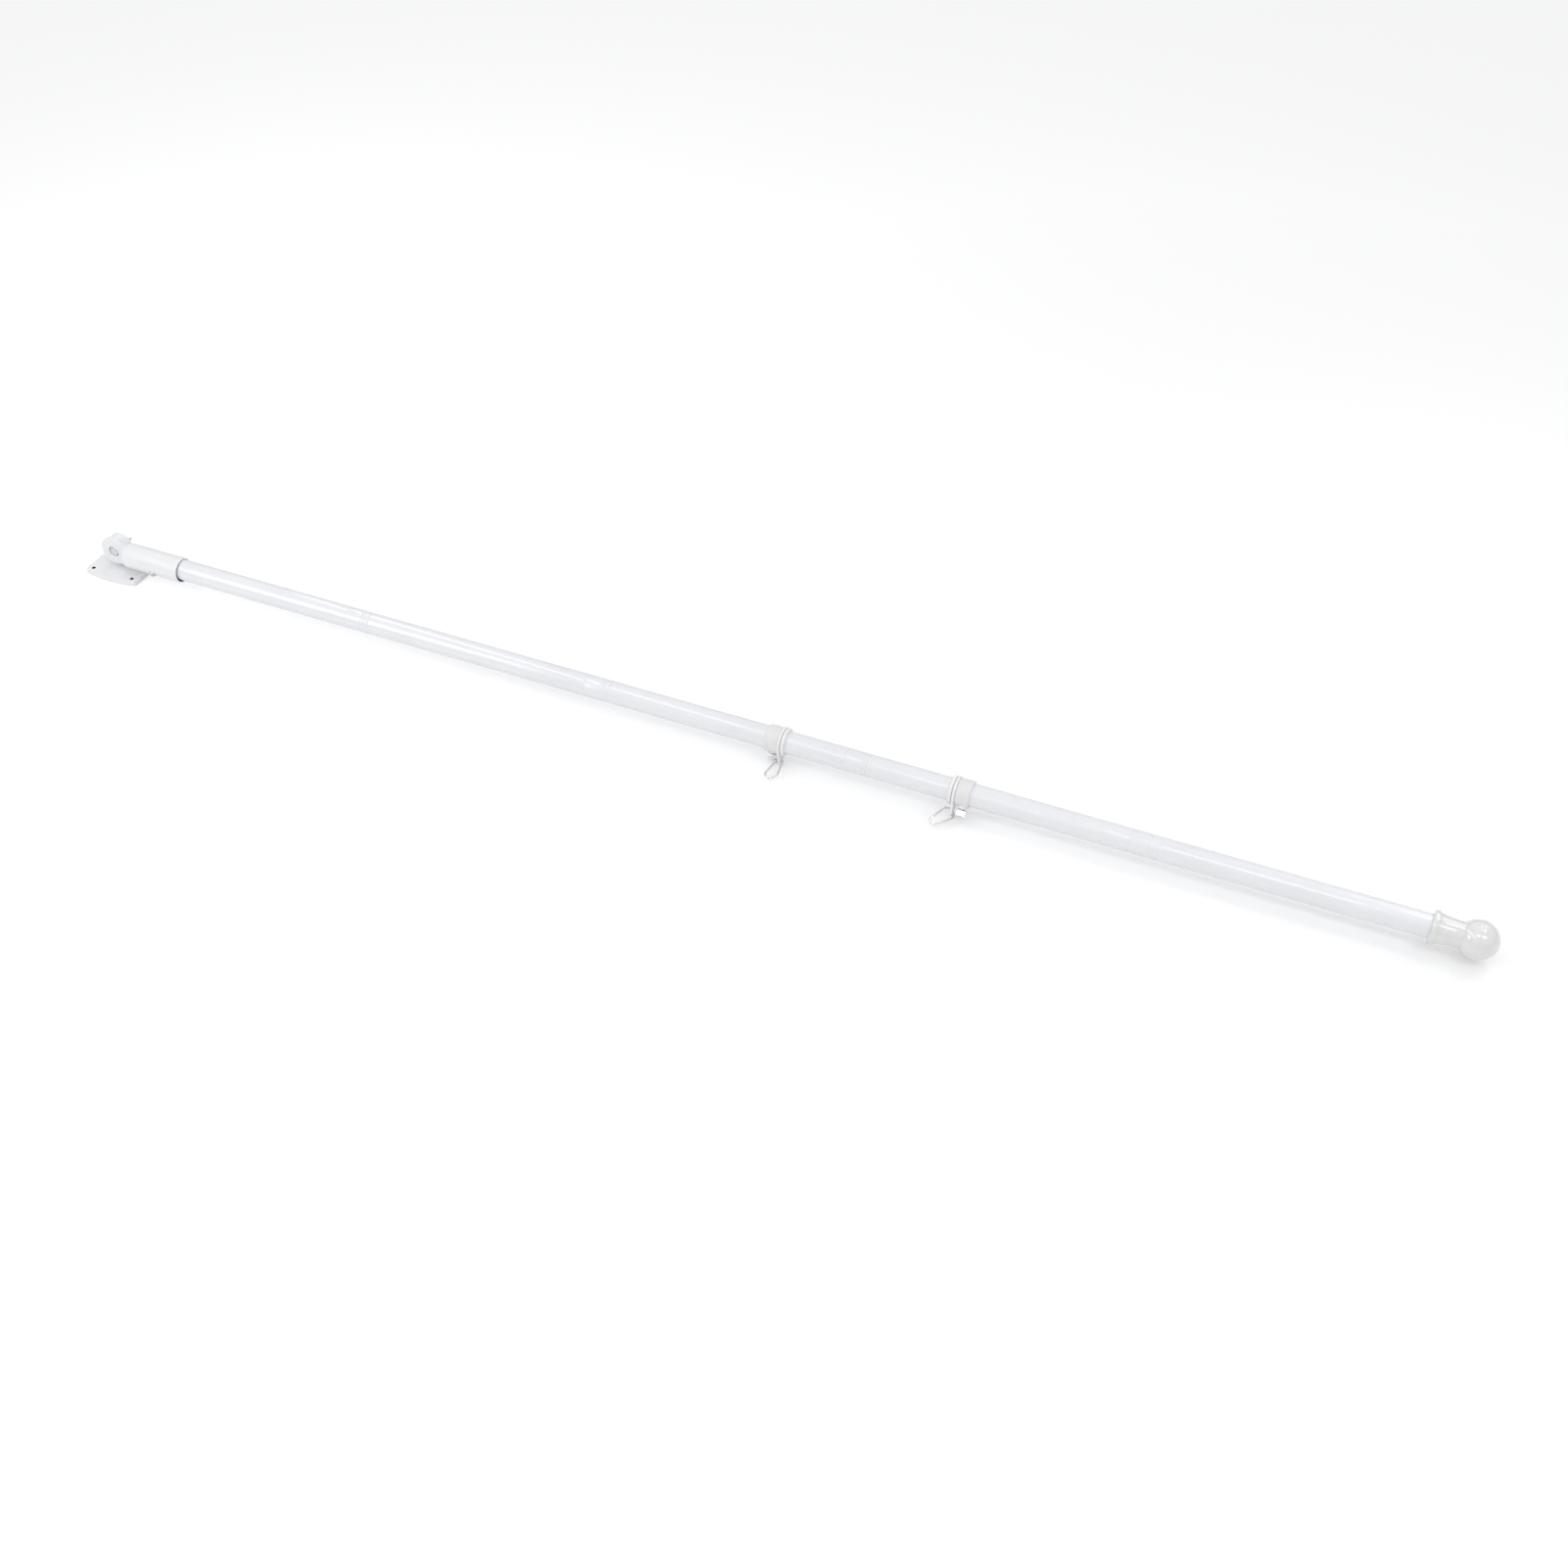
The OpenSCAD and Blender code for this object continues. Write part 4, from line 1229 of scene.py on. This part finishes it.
def ring_plate_mesh(context, side, sizes, sleeve):
    """The turning ring with its ear, and the eye in it"""
    beyond = 2 * RING_HALF
    flat = prism(ring_outline(sizes.plate_radius, EAR_R, sizes.eye_distance),
                 -RING_HALF, RING_HALF, 0.55 * MM)
    hole = cylinder(-beyond, beyond, sleeve + 0.08 * MM, 128)
    eye = lathe([(-beyond, 0), (-beyond, EAR_R), (-0.95 * MM, EYE_R), (0.95 * MM, EYE_R),
                 (beyond, EAR_R), (beyond, 0)], 56)
    flat = carved(context, flat, placed(hole, x_upright()))
    flat = carved(context, flat, placed(eye, x_upright((sizes.eye_distance, 0, 0))))
    turn = getattr(sizes, side + "_eye_turn")
    down = (0, -sin(turn), -cos(turn))
    turned = axes((RING_X[side], 0, AXIS_Z), down, Vector((1, 0, 0)).cross(Vector(down)))
    return placed(flat, turned)


def thumbscrew_mesh(context, sizes, chrome, out):
    """The thumbscrew: shank, head, knurls and thread"""
    base, top, core, shank = THUMB_BASE, THUMB_TOP, THUMB_CORE, THUMB_SHANK
    head = lathe(rounded([(TUBE_R, 0), (TUBE_R, 1.2 * MM), (TUBE_R + 0.7 * MM, shank),
                          (base - 0.2 * MM, shank), (base - 0.2 * MM, 3.4 * MM),
                          (base + 0.3 * MM, 3.9 * MM), (base + 0.9 * MM, core),
                          (top - 0.7 * MM, core), (top, core - 0.9 * MM),
                          (top - 0.25 * MM, core - 1.9 * MM), (top - 0.25 * MM, 0)],
                         [0, 0, 0, 0, 0.2 * MM, 0.2 * MM, 0.3 * MM, 0.3 * MM,
                          0.4 * MM, 0.3 * MM, 0]), 64)
    knurls = grown(context, shape("Knurls", knurl_tree), chrome, Count=sizes.knurl_count,
                   Radius=core - 0.05 * MM, Height=top - base - 0.6 * MM, Ridge=0.7 * MM)
    ridges = thread(context, chrome, 1.74 * MM, 0.8 * MM, base - TUBE_R - 1.2 * MM, 0.25 * MM)
    lay = out @ z_along()
    rise = Matrix.Translation((0, 0, (base + top) / 2))
    wind = Matrix.Translation((0, 0, TUBE_R + 0.6 * MM))
    return merged(placed(head, out), placed(knurls, lay @ rise), placed(ridges, lay @ wind))


class FLAGPOLE_OT_sliding_rings(bpy.types.Operator):
    """Make the two rings: clamping collar, end retainer, turning plate and thumbscrew"""

    bl_idname = "flagpole.sliding_rings"
    bl_label = "Sliding Rings"

    def execute(self, context):
        sizes = context.scene.flagpole_rings
        nylon = finish("Moulded nylon", moulded_nylon, "Moulded nylon", sizes.nylon_color)
        white = finish("White nylon", moulded_nylon, "White nylon", sizes.white_color)
        chrome = finish("Knurled chrome", plated_metal, "Knurled chrome", sizes.chrome_color,
                        0.16, (500.0, 500.0, 120.0))
        sleeve = sizes.collar_radius - 1.1 * MM
        for side in ("lower", "upper"):
            slider = side + "_slider"
            out = outward(RING_X[side] + FACING[side] * THUMB_OFFSET,
                          getattr(sizes, side + "_screw_turn"))
            add_piece(context, side + "_collar", collar_mesh(context, side, sizes, sleeve, out),
                      nylon, slider, [side + "_collar"])
            add_piece(context, side + "_retainer", retainer_mesh(side, sleeve), white, slider,
                      [side + "_retainer"])
            add_piece(context, side + "_ring_plate", ring_plate_mesh(context, side, sizes, sleeve),
                      white, side + "_ring", [side + "_ring_plate"])
            add_piece(context, side + "_thumbscrew", thumbscrew_mesh(context, sizes, chrome, out),
                      chrome, slider, [side + "_thumbscrew"], crease=28)
        return {"FINISHED"}


def hook_place(side, sizes):
    """Where a hook hangs: by its narrow bend in the lower eye, its wide bend in the upper"""
    turn = getattr(sizes, side + "_eye_turn")
    yaw, pitch, roll = (radians(a) for a in HOOK_TURNS[side])
    eye = Vector((RING_X[side] + HOOK_PLAY[side], -sizes.eye_distance * sin(turn),
                  AXIS_Z - sizes.eye_distance * cos(turn)))
    lay = (Matrix.Translation(eye) @ Matrix.Rotation(-yaw, 4, "Z")
           @ Matrix.Rotation(pi / 2 + pitch, 4, "X") @ Matrix.Rotation(roll, 4, "Z"))
    if side == "lower":
        return lay @ Matrix.Translation((0, 0, sizes.narrow_bend))
    return (lay @ Matrix.Translation((0, 0, sizes.bend_gap + sizes.wide_bend))
            @ Matrix.Rotation(pi, 4, "Y"))


class FLAGPOLE_OT_snap_hooks(bpy.types.Operator):
    """Make the two wire snap hooks and their sprung gates"""

    bl_idname = "flagpole.snap_hooks"
    bl_label = "Snap Hooks"

    def execute(self, context):
        sizes = context.scene.flagpole_rings
        chrome = finish("Hook chrome", plated_metal, "Hook chrome", sizes.chrome_color, 0.12,
                        (380.0, 380.0, 380.0))
        wide, narrow, gap = sizes.wide_bend, sizes.narrow_bend, sizes.bend_gap
        wire, rod = sizes.wire_radius, sizes.gate_radius
        taper = asin((wide - narrow) / gap)
        root = Vector((narrow * cos(taper), 0, -narrow * sin(taper)))
        up = Vector((sin(taper), 0, cos(taper)))
        cheek_mid = wire + 0.12 * MM + CHEEK_HALF
        gate_length = gap * cos(taper)
        for side in ("lower", "upper"):
            place = hook_place(side, sizes)
            path = [Vector((p.x, 0, p.y)) for p in arc((0, 0), narrow, -taper, taper - pi, 22)]
            path += [Vector((p.x, 0, p.y)) for p in arc((0, gap), wide, pi + taper, -taper, 34)]
            hook = sweep(path, wire)
            for way in (-1, 1):
                plate = prism(rounded([(-CHEEK_R, -1.2 * MM), (CHEEK_R, -1.2 * MM),
                                       (CHEEK_R, PIN_AT + CHEEK_R), (-CHEEK_R, PIN_AT + CHEEK_R)],
                                      [0.5 * MM, 0.5 * MM, 1.25 * MM, 1.25 * MM], closed=True),
                              -CHEEK_HALF, CHEEK_HALF, 0.12 * MM, 2)
                # The cheek's outline stands in the plane square to the pin
                stand = Matrix.Translation(root + Vector((0, way * cheek_mid, 0)))
                lean = Matrix((Vector((up.z, 0, -up.x)), up, Vector((0, -1, 0)))).transposed()
                hook = merged(hook, placed(plate, stand @ lean.to_4x4()))
            rivet_end = cheek_mid + CHEEK_HALF
            rivet = lathe(rounded([(-rivet_end - 0.25 * MM, 0), (-rivet_end - 0.25 * MM, 0.75 * MM),
                                   (-rivet_end, 1.0 * MM), (-rivet_end, 0.6 * MM),
                                   (rivet_end, 0.6 * MM), (rivet_end, 1.0 * MM),
                                   (rivet_end + 0.25 * MM, 0.75 * MM),
                                   (rivet_end + 0.25 * MM, 0)], 0.1 * MM), 24)
            hook = merged(hook, placed(rivet, axes(root + up * PIN_AT, (0, 1, 0), (0, 0, 1))))
            add_piece(context, side + "_hook", placed(hook, place), chrome, side + "_clip",
                      [side + "_hook"])
            tip = gate_length - PIN_AT - 0.3 * MM
            gate = lathe(rounded([(0, 0), (0, wire * 0.9), (1.5 * MM, wire), (2.0 * MM, rod),
                                  (tip, rod), (tip, 0)],
                                 [0, 0.3 * MM, 0.4 * MM, 0.5 * MM, 0.45 * MM, 0]), 24)
            barrel = lathe(rounded([(-wire, PIN_BORE), (-wire, CHEEK_R), (wire, CHEEK_R),
                                    (wire, PIN_BORE)], 0.15 * MM, closed=True), 32, closed=True)
            pivot = root + up * PIN_AT
            gate = merged(placed(gate, axes(pivot, up, (0, 1, 0))),
                          placed(barrel, axes(pivot, (0, 1, 0), (0, 0, 1))))
            add_piece(context, side + "_gate", placed(gate, place), chrome, side + "_latch",
                      [side + "_gate"])
        return {"FINISHED"}


# ---------- the finial ----------


class FLAGPOLE_OT_ball_finial(bpy.types.Operator):
    """Make the finial: a flanged cap with a concave neck, and the ball it carries"""

    bl_idname = "flagpole.ball_finial"
    bl_label = "Ball Finial"

    def execute(self, context):
        sizes = context.scene.flagpole_finial
        gloss = finish("Ball gloss", ball_gloss, sizes.gloss_color)
        low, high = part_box("finial_cap")
        width, neck = sizes.flange_width, sizes.neck_radius
        length = high.x - low.x
        depth = POLE_END + 0.3 * MM - low.x
        bore = TUBE_R + 0.05 * MM
        root = 16 * MM
        curve = []
        for k in range(25):
            t = k / 24
            curve.append((width + (length - width) * t, neck + (root - neck) * (1 - t) ** 2))
        skirt = rounded([(depth, 0), (depth, bore), (0, bore), (0, sizes.flange_radius),
                         (width, sizes.flange_radius), curve[0], curve[3]],
                        [0, 0, 0.5 * MM, 1.1 * MM, 1.0 * MM, 0.5 * MM, 0])
        cap = lathe([tuple(p) for p in skirt[:-1]] + curve[3:] + [(length, 0)], 144)
        add_piece(context, "finial_cap", placed(cap, on_pole(low.x)), gloss, "pole",
                  ["finial_cap"])
        radius = sizes.ball_radius
        seat = sqrt(radius ** 2 - neck ** 2)
        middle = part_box("finial_ball")[1].x - radius
        start = pi - asin(neck / radius)
        turns = [start * (1 - k / 100) for k in range(100)]
        curve = [(radius * cos(turn), radius * sin(turn)) for turn in turns]
        # The plain surface gives way to a fine mould seam round the ball's middle
        curve = [p for p in curve if abs(p[0]) > radius * 0.014]
        curve += [(radius * cos(pi / 2 + turn), (radius - dip) * sin(pi / 2 + turn))
                  for turn, dip in MOULD_SEAM]
        ball = lathe([(-seat, 0)] + sorted(curve) + [(radius, 0)], 144)
        add_piece(context, "finial_ball", placed(ball, on_pole(middle)), gloss, "pole",
                  ["finial_ball"], crease=45)
        return {"FINISHED"}


# ---------- the studio ----------


def lamp(context, name, where, target, size, power, long_axis=None):
    """A rectangular lamp at a place, facing a target, its length along an axis"""
    data = bpy.data.lights.new(name, "AREA")
    data.shape = "RECTANGLE"
    data.size, data.size_y = size
    data.energy = power
    obj = bpy.data.objects.new(name, data)
    back = (Vector(where) - Vector(target)).normalized()
    along = Vector(long_axis or (1, 0, 0))
    along = (along - back * along.dot(back)).normalized()
    turn = Matrix((along, back.cross(along), back)).transposed().to_4x4()
    obj.matrix_world = Matrix.Translation(Vector(where)) @ turn
    context.scene.collection.objects.link(obj)
    return obj


def floor_material(color, lift):
    """Pale floor that shows the object's soft shadow on a nearly white ground"""
    made = bpy.data.materials.new("Pale floor")
    made.use_nodes = True
    tree = made.node_tree
    tree.nodes.clear()
    matt = node(tree, "ShaderNodeBsdfDiffuse", Color=(*color, 1.0))
    glow = node(tree, "ShaderNodeEmission", Color=(1.0, 1.0, 1.0, 1.0))
    path = tree.nodes.new("ShaderNodeLightPath")
    coords = tree.nodes.new("ShaderNodeTexCoord")
    away = node(tree, "ShaderNodeVectorMath", operation="DISTANCE")
    tree.links.new(coords.outputs["Object"], away.inputs[0])
    away.inputs[1].default_value = GLOW_CENTRE
    far = math_node(tree, "MULTIPLY", ramp(tree, away.outputs["Value"], *GLOW_RAMP), lift)
    tree.links.new(math_node(tree, "MULTIPLY", path.outputs["Is Camera Ray"], far),
                   glow.inputs["Strength"])
    both = tree.nodes.new("ShaderNodeAddShader")
    out = tree.nodes.new("ShaderNodeOutputMaterial")
    tree.links.new(matt.outputs["BSDF"], both.inputs[0])
    tree.links.new(glow.outputs["Emission"], both.inputs[1])
    tree.links.new(both.outputs["Shader"], out.inputs["Surface"])
    return made


class FLAGPOLE_OT_studio(bpy.types.Operator):
    """Make the floor, the sky, the lamps and the camera"""

    bl_idname = "flagpole.studio"
    bl_label = "Studio"

    def execute(self, context):
        scene = context.scene
        sizes = scene.flagpole_studio
        bm = bmesh.new()
        half = 60.0
        for x, y in ((-half, -half), (half, -half), (half, half), (-half, half)):
            bm.verts.new((x, y, -0.0002))
        bm.faces.new(bm.verts)
        floor = bench_object(context, bm, "floor")
        floor.data.materials.append(floor_material(sizes.floor_color, sizes.floor_lift))

        world = bpy.data.worlds.new("Studio sky")
        scene.world = world
        world.use_nodes = True
        tree = world.node_tree
        sky = tree.nodes["Background"]
        path = tree.nodes.new("ShaderNodeLightPath")
        seen = math_node(tree, "MULTIPLY", path.outputs["Is Camera Ray"], 1 - sizes.sky_strength)
        level = math_node(tree, "ADD", seen, sizes.sky_strength)
        # Reflections see the sky dimmed up to a little above the horizon, for darker edges
        way = tree.nodes.new("ShaderNodeTexCoord")
        split = tree.nodes.new("ShaderNodeSeparateXYZ")
        tree.links.new(way.outputs["Generated"], split.inputs["Vector"])
        band = math_node(tree, "SUBTRACT", 1, ramp(tree, split.outputs["Z"], 0.12, 0.3))
        dim = math_node(tree, "MULTIPLY", math_node(tree, "MULTIPLY", band,
                                                    path.outputs["Is Glossy Ray"]), 0.7)
        tree.links.new(math_node(tree, "MULTIPLY", level, math_node(tree, "SUBTRACT", 1, dim)),
                       sky.inputs["Strength"])
        sky.inputs["Color"].default_value = (0.985, 0.99, 1.0, 1.0)

        middle = (0.8, 0.0, AXIS_Z)
        lamp(context, "strip_lamp", (0.29, -0.155, 1.05), middle, (2.3, 0.10),
             sizes.strip_power, STRIP_AXIS)
        lamp(context, "key_lamp", (1.75, 0.75, 0.9), (1.35, 0.0, 0.0), (0.5, 0.5),
             sizes.key_power)
        lamp(context, "front_lamp", (1.5, -0.55, 1.0), (1.3, 0.0, 0.0), (0.3, 0.12),
             sizes.front_power)
        lamp(context, "fill_lamp", (-0.4, -0.9, 0.9), (0.2, 0.0, 0.0), (0.7, 0.7),
             sizes.fill_power)
        for number, where in enumerate(WINDOW_SPOTS):
            lamp(context, f"window_lamp_{number + 1}", where, (1.57, 0, AXIS_Z), (0.36, 0.22),
                 sizes.window_power)

        data = bpy.data.cameras.new("camera")
        data.lens = CAMERA_LENS
        data.sensor_width = 36
        data.clip_start = 0.02
        data.clip_end = 200
        camera = bpy.data.objects.new("camera", data)
        heading, tilt, lean = CAMERA_HEADING, CAMERA_TILT, CAMERA_LEAN
        ahead = Vector((sin(heading) * cos(tilt), cos(heading) * cos(tilt), -sin(tilt)))
        right = Vector((cos(heading), -sin(heading), 0))
        down = ahead.cross(right)
        side = right * cos(lean) + down * sin(lean)
        under = down * cos(lean) - right * sin(lean)
        turn = Matrix((side, -under, -ahead)).transposed().to_4x4()
        camera.matrix_world = Matrix.Translation(CAMERA_PLACE) @ turn
        scene.collection.objects.link(camera)
        scene.camera = camera
        scene.view_settings.view_transform = "Standard"
        return {"FINISHED"}


# ---------- the panel ----------


class FLAGPOLE_PT_panel(bpy.types.Panel):
    """Lists the pieces and their settings"""

    bl_idname = "FLAGPOLE_PT_panel"
    bl_label = "Flagpole"
    bl_space_type = "VIEW_3D"
    bl_region_type = "UI"
    bl_category = "Flagpole"

    def draw(self, context):
        for settings, operators in PANEL_ROWS:
            box = self.layout.box()
            group = getattr(context.scene, settings)
            for name in group.__annotations__:
                box.prop(group, name)
            for operator in operators:
                box.operator(operator.bl_idname)


PANEL_ROWS = (
    ("flagpole_bracket", (FLAGPOLE_OT_wall_plate, FLAGPOLE_OT_hinge_bolt,
                          FLAGPOLE_OT_pole_socket)),
    ("flagpole_pole", (FLAGPOLE_OT_tube_sections,)),
    ("flagpole_rings", (FLAGPOLE_OT_sliding_rings, FLAGPOLE_OT_snap_hooks)),
    ("flagpole_finial", (FLAGPOLE_OT_ball_finial,)),
    ("flagpole_studio", (FLAGPOLE_OT_studio,)),
)
SETTINGS = {
    "flagpole_bracket": BracketSettings, "flagpole_pole": PoleSettings,
    "flagpole_rings": RingSettings, "flagpole_finial": FinialSettings,
    "flagpole_studio": StudioSettings,
}
CLASSES = (*SETTINGS.values(), FLAGPOLE_OT_wall_plate, FLAGPOLE_OT_hinge_bolt,
           FLAGPOLE_OT_pole_socket, FLAGPOLE_OT_tube_sections, FLAGPOLE_OT_sliding_rings,
           FLAGPOLE_OT_snap_hooks, FLAGPOLE_OT_ball_finial, FLAGPOLE_OT_studio,
           FLAGPOLE_PT_panel)


def register():
    for item in CLASSES:
        bpy.utils.register_class(item)
    for name, group in SETTINGS.items():
        setattr(bpy.types.Scene, name, PointerProperty(type=group))


def unregister():
    for name in SETTINGS:
        delattr(bpy.types.Scene, name)
    for item in reversed(CLASSES):
        bpy.utils.unregister_class(item)


def main():
    """Registers the add-on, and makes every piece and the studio"""
    register()
    bpy.ops.flagpole.studio()
    bpy.ops.flagpole.wall_plate()
    bpy.ops.flagpole.hinge_bolt()
    bpy.ops.flagpole.pole_socket()
    bpy.ops.flagpole.tube_sections()
    bpy.ops.flagpole.sliding_rings()
    bpy.ops.flagpole.snap_hooks()
    bpy.ops.flagpole.ball_finial()


if __name__ == "__main__":
    main()
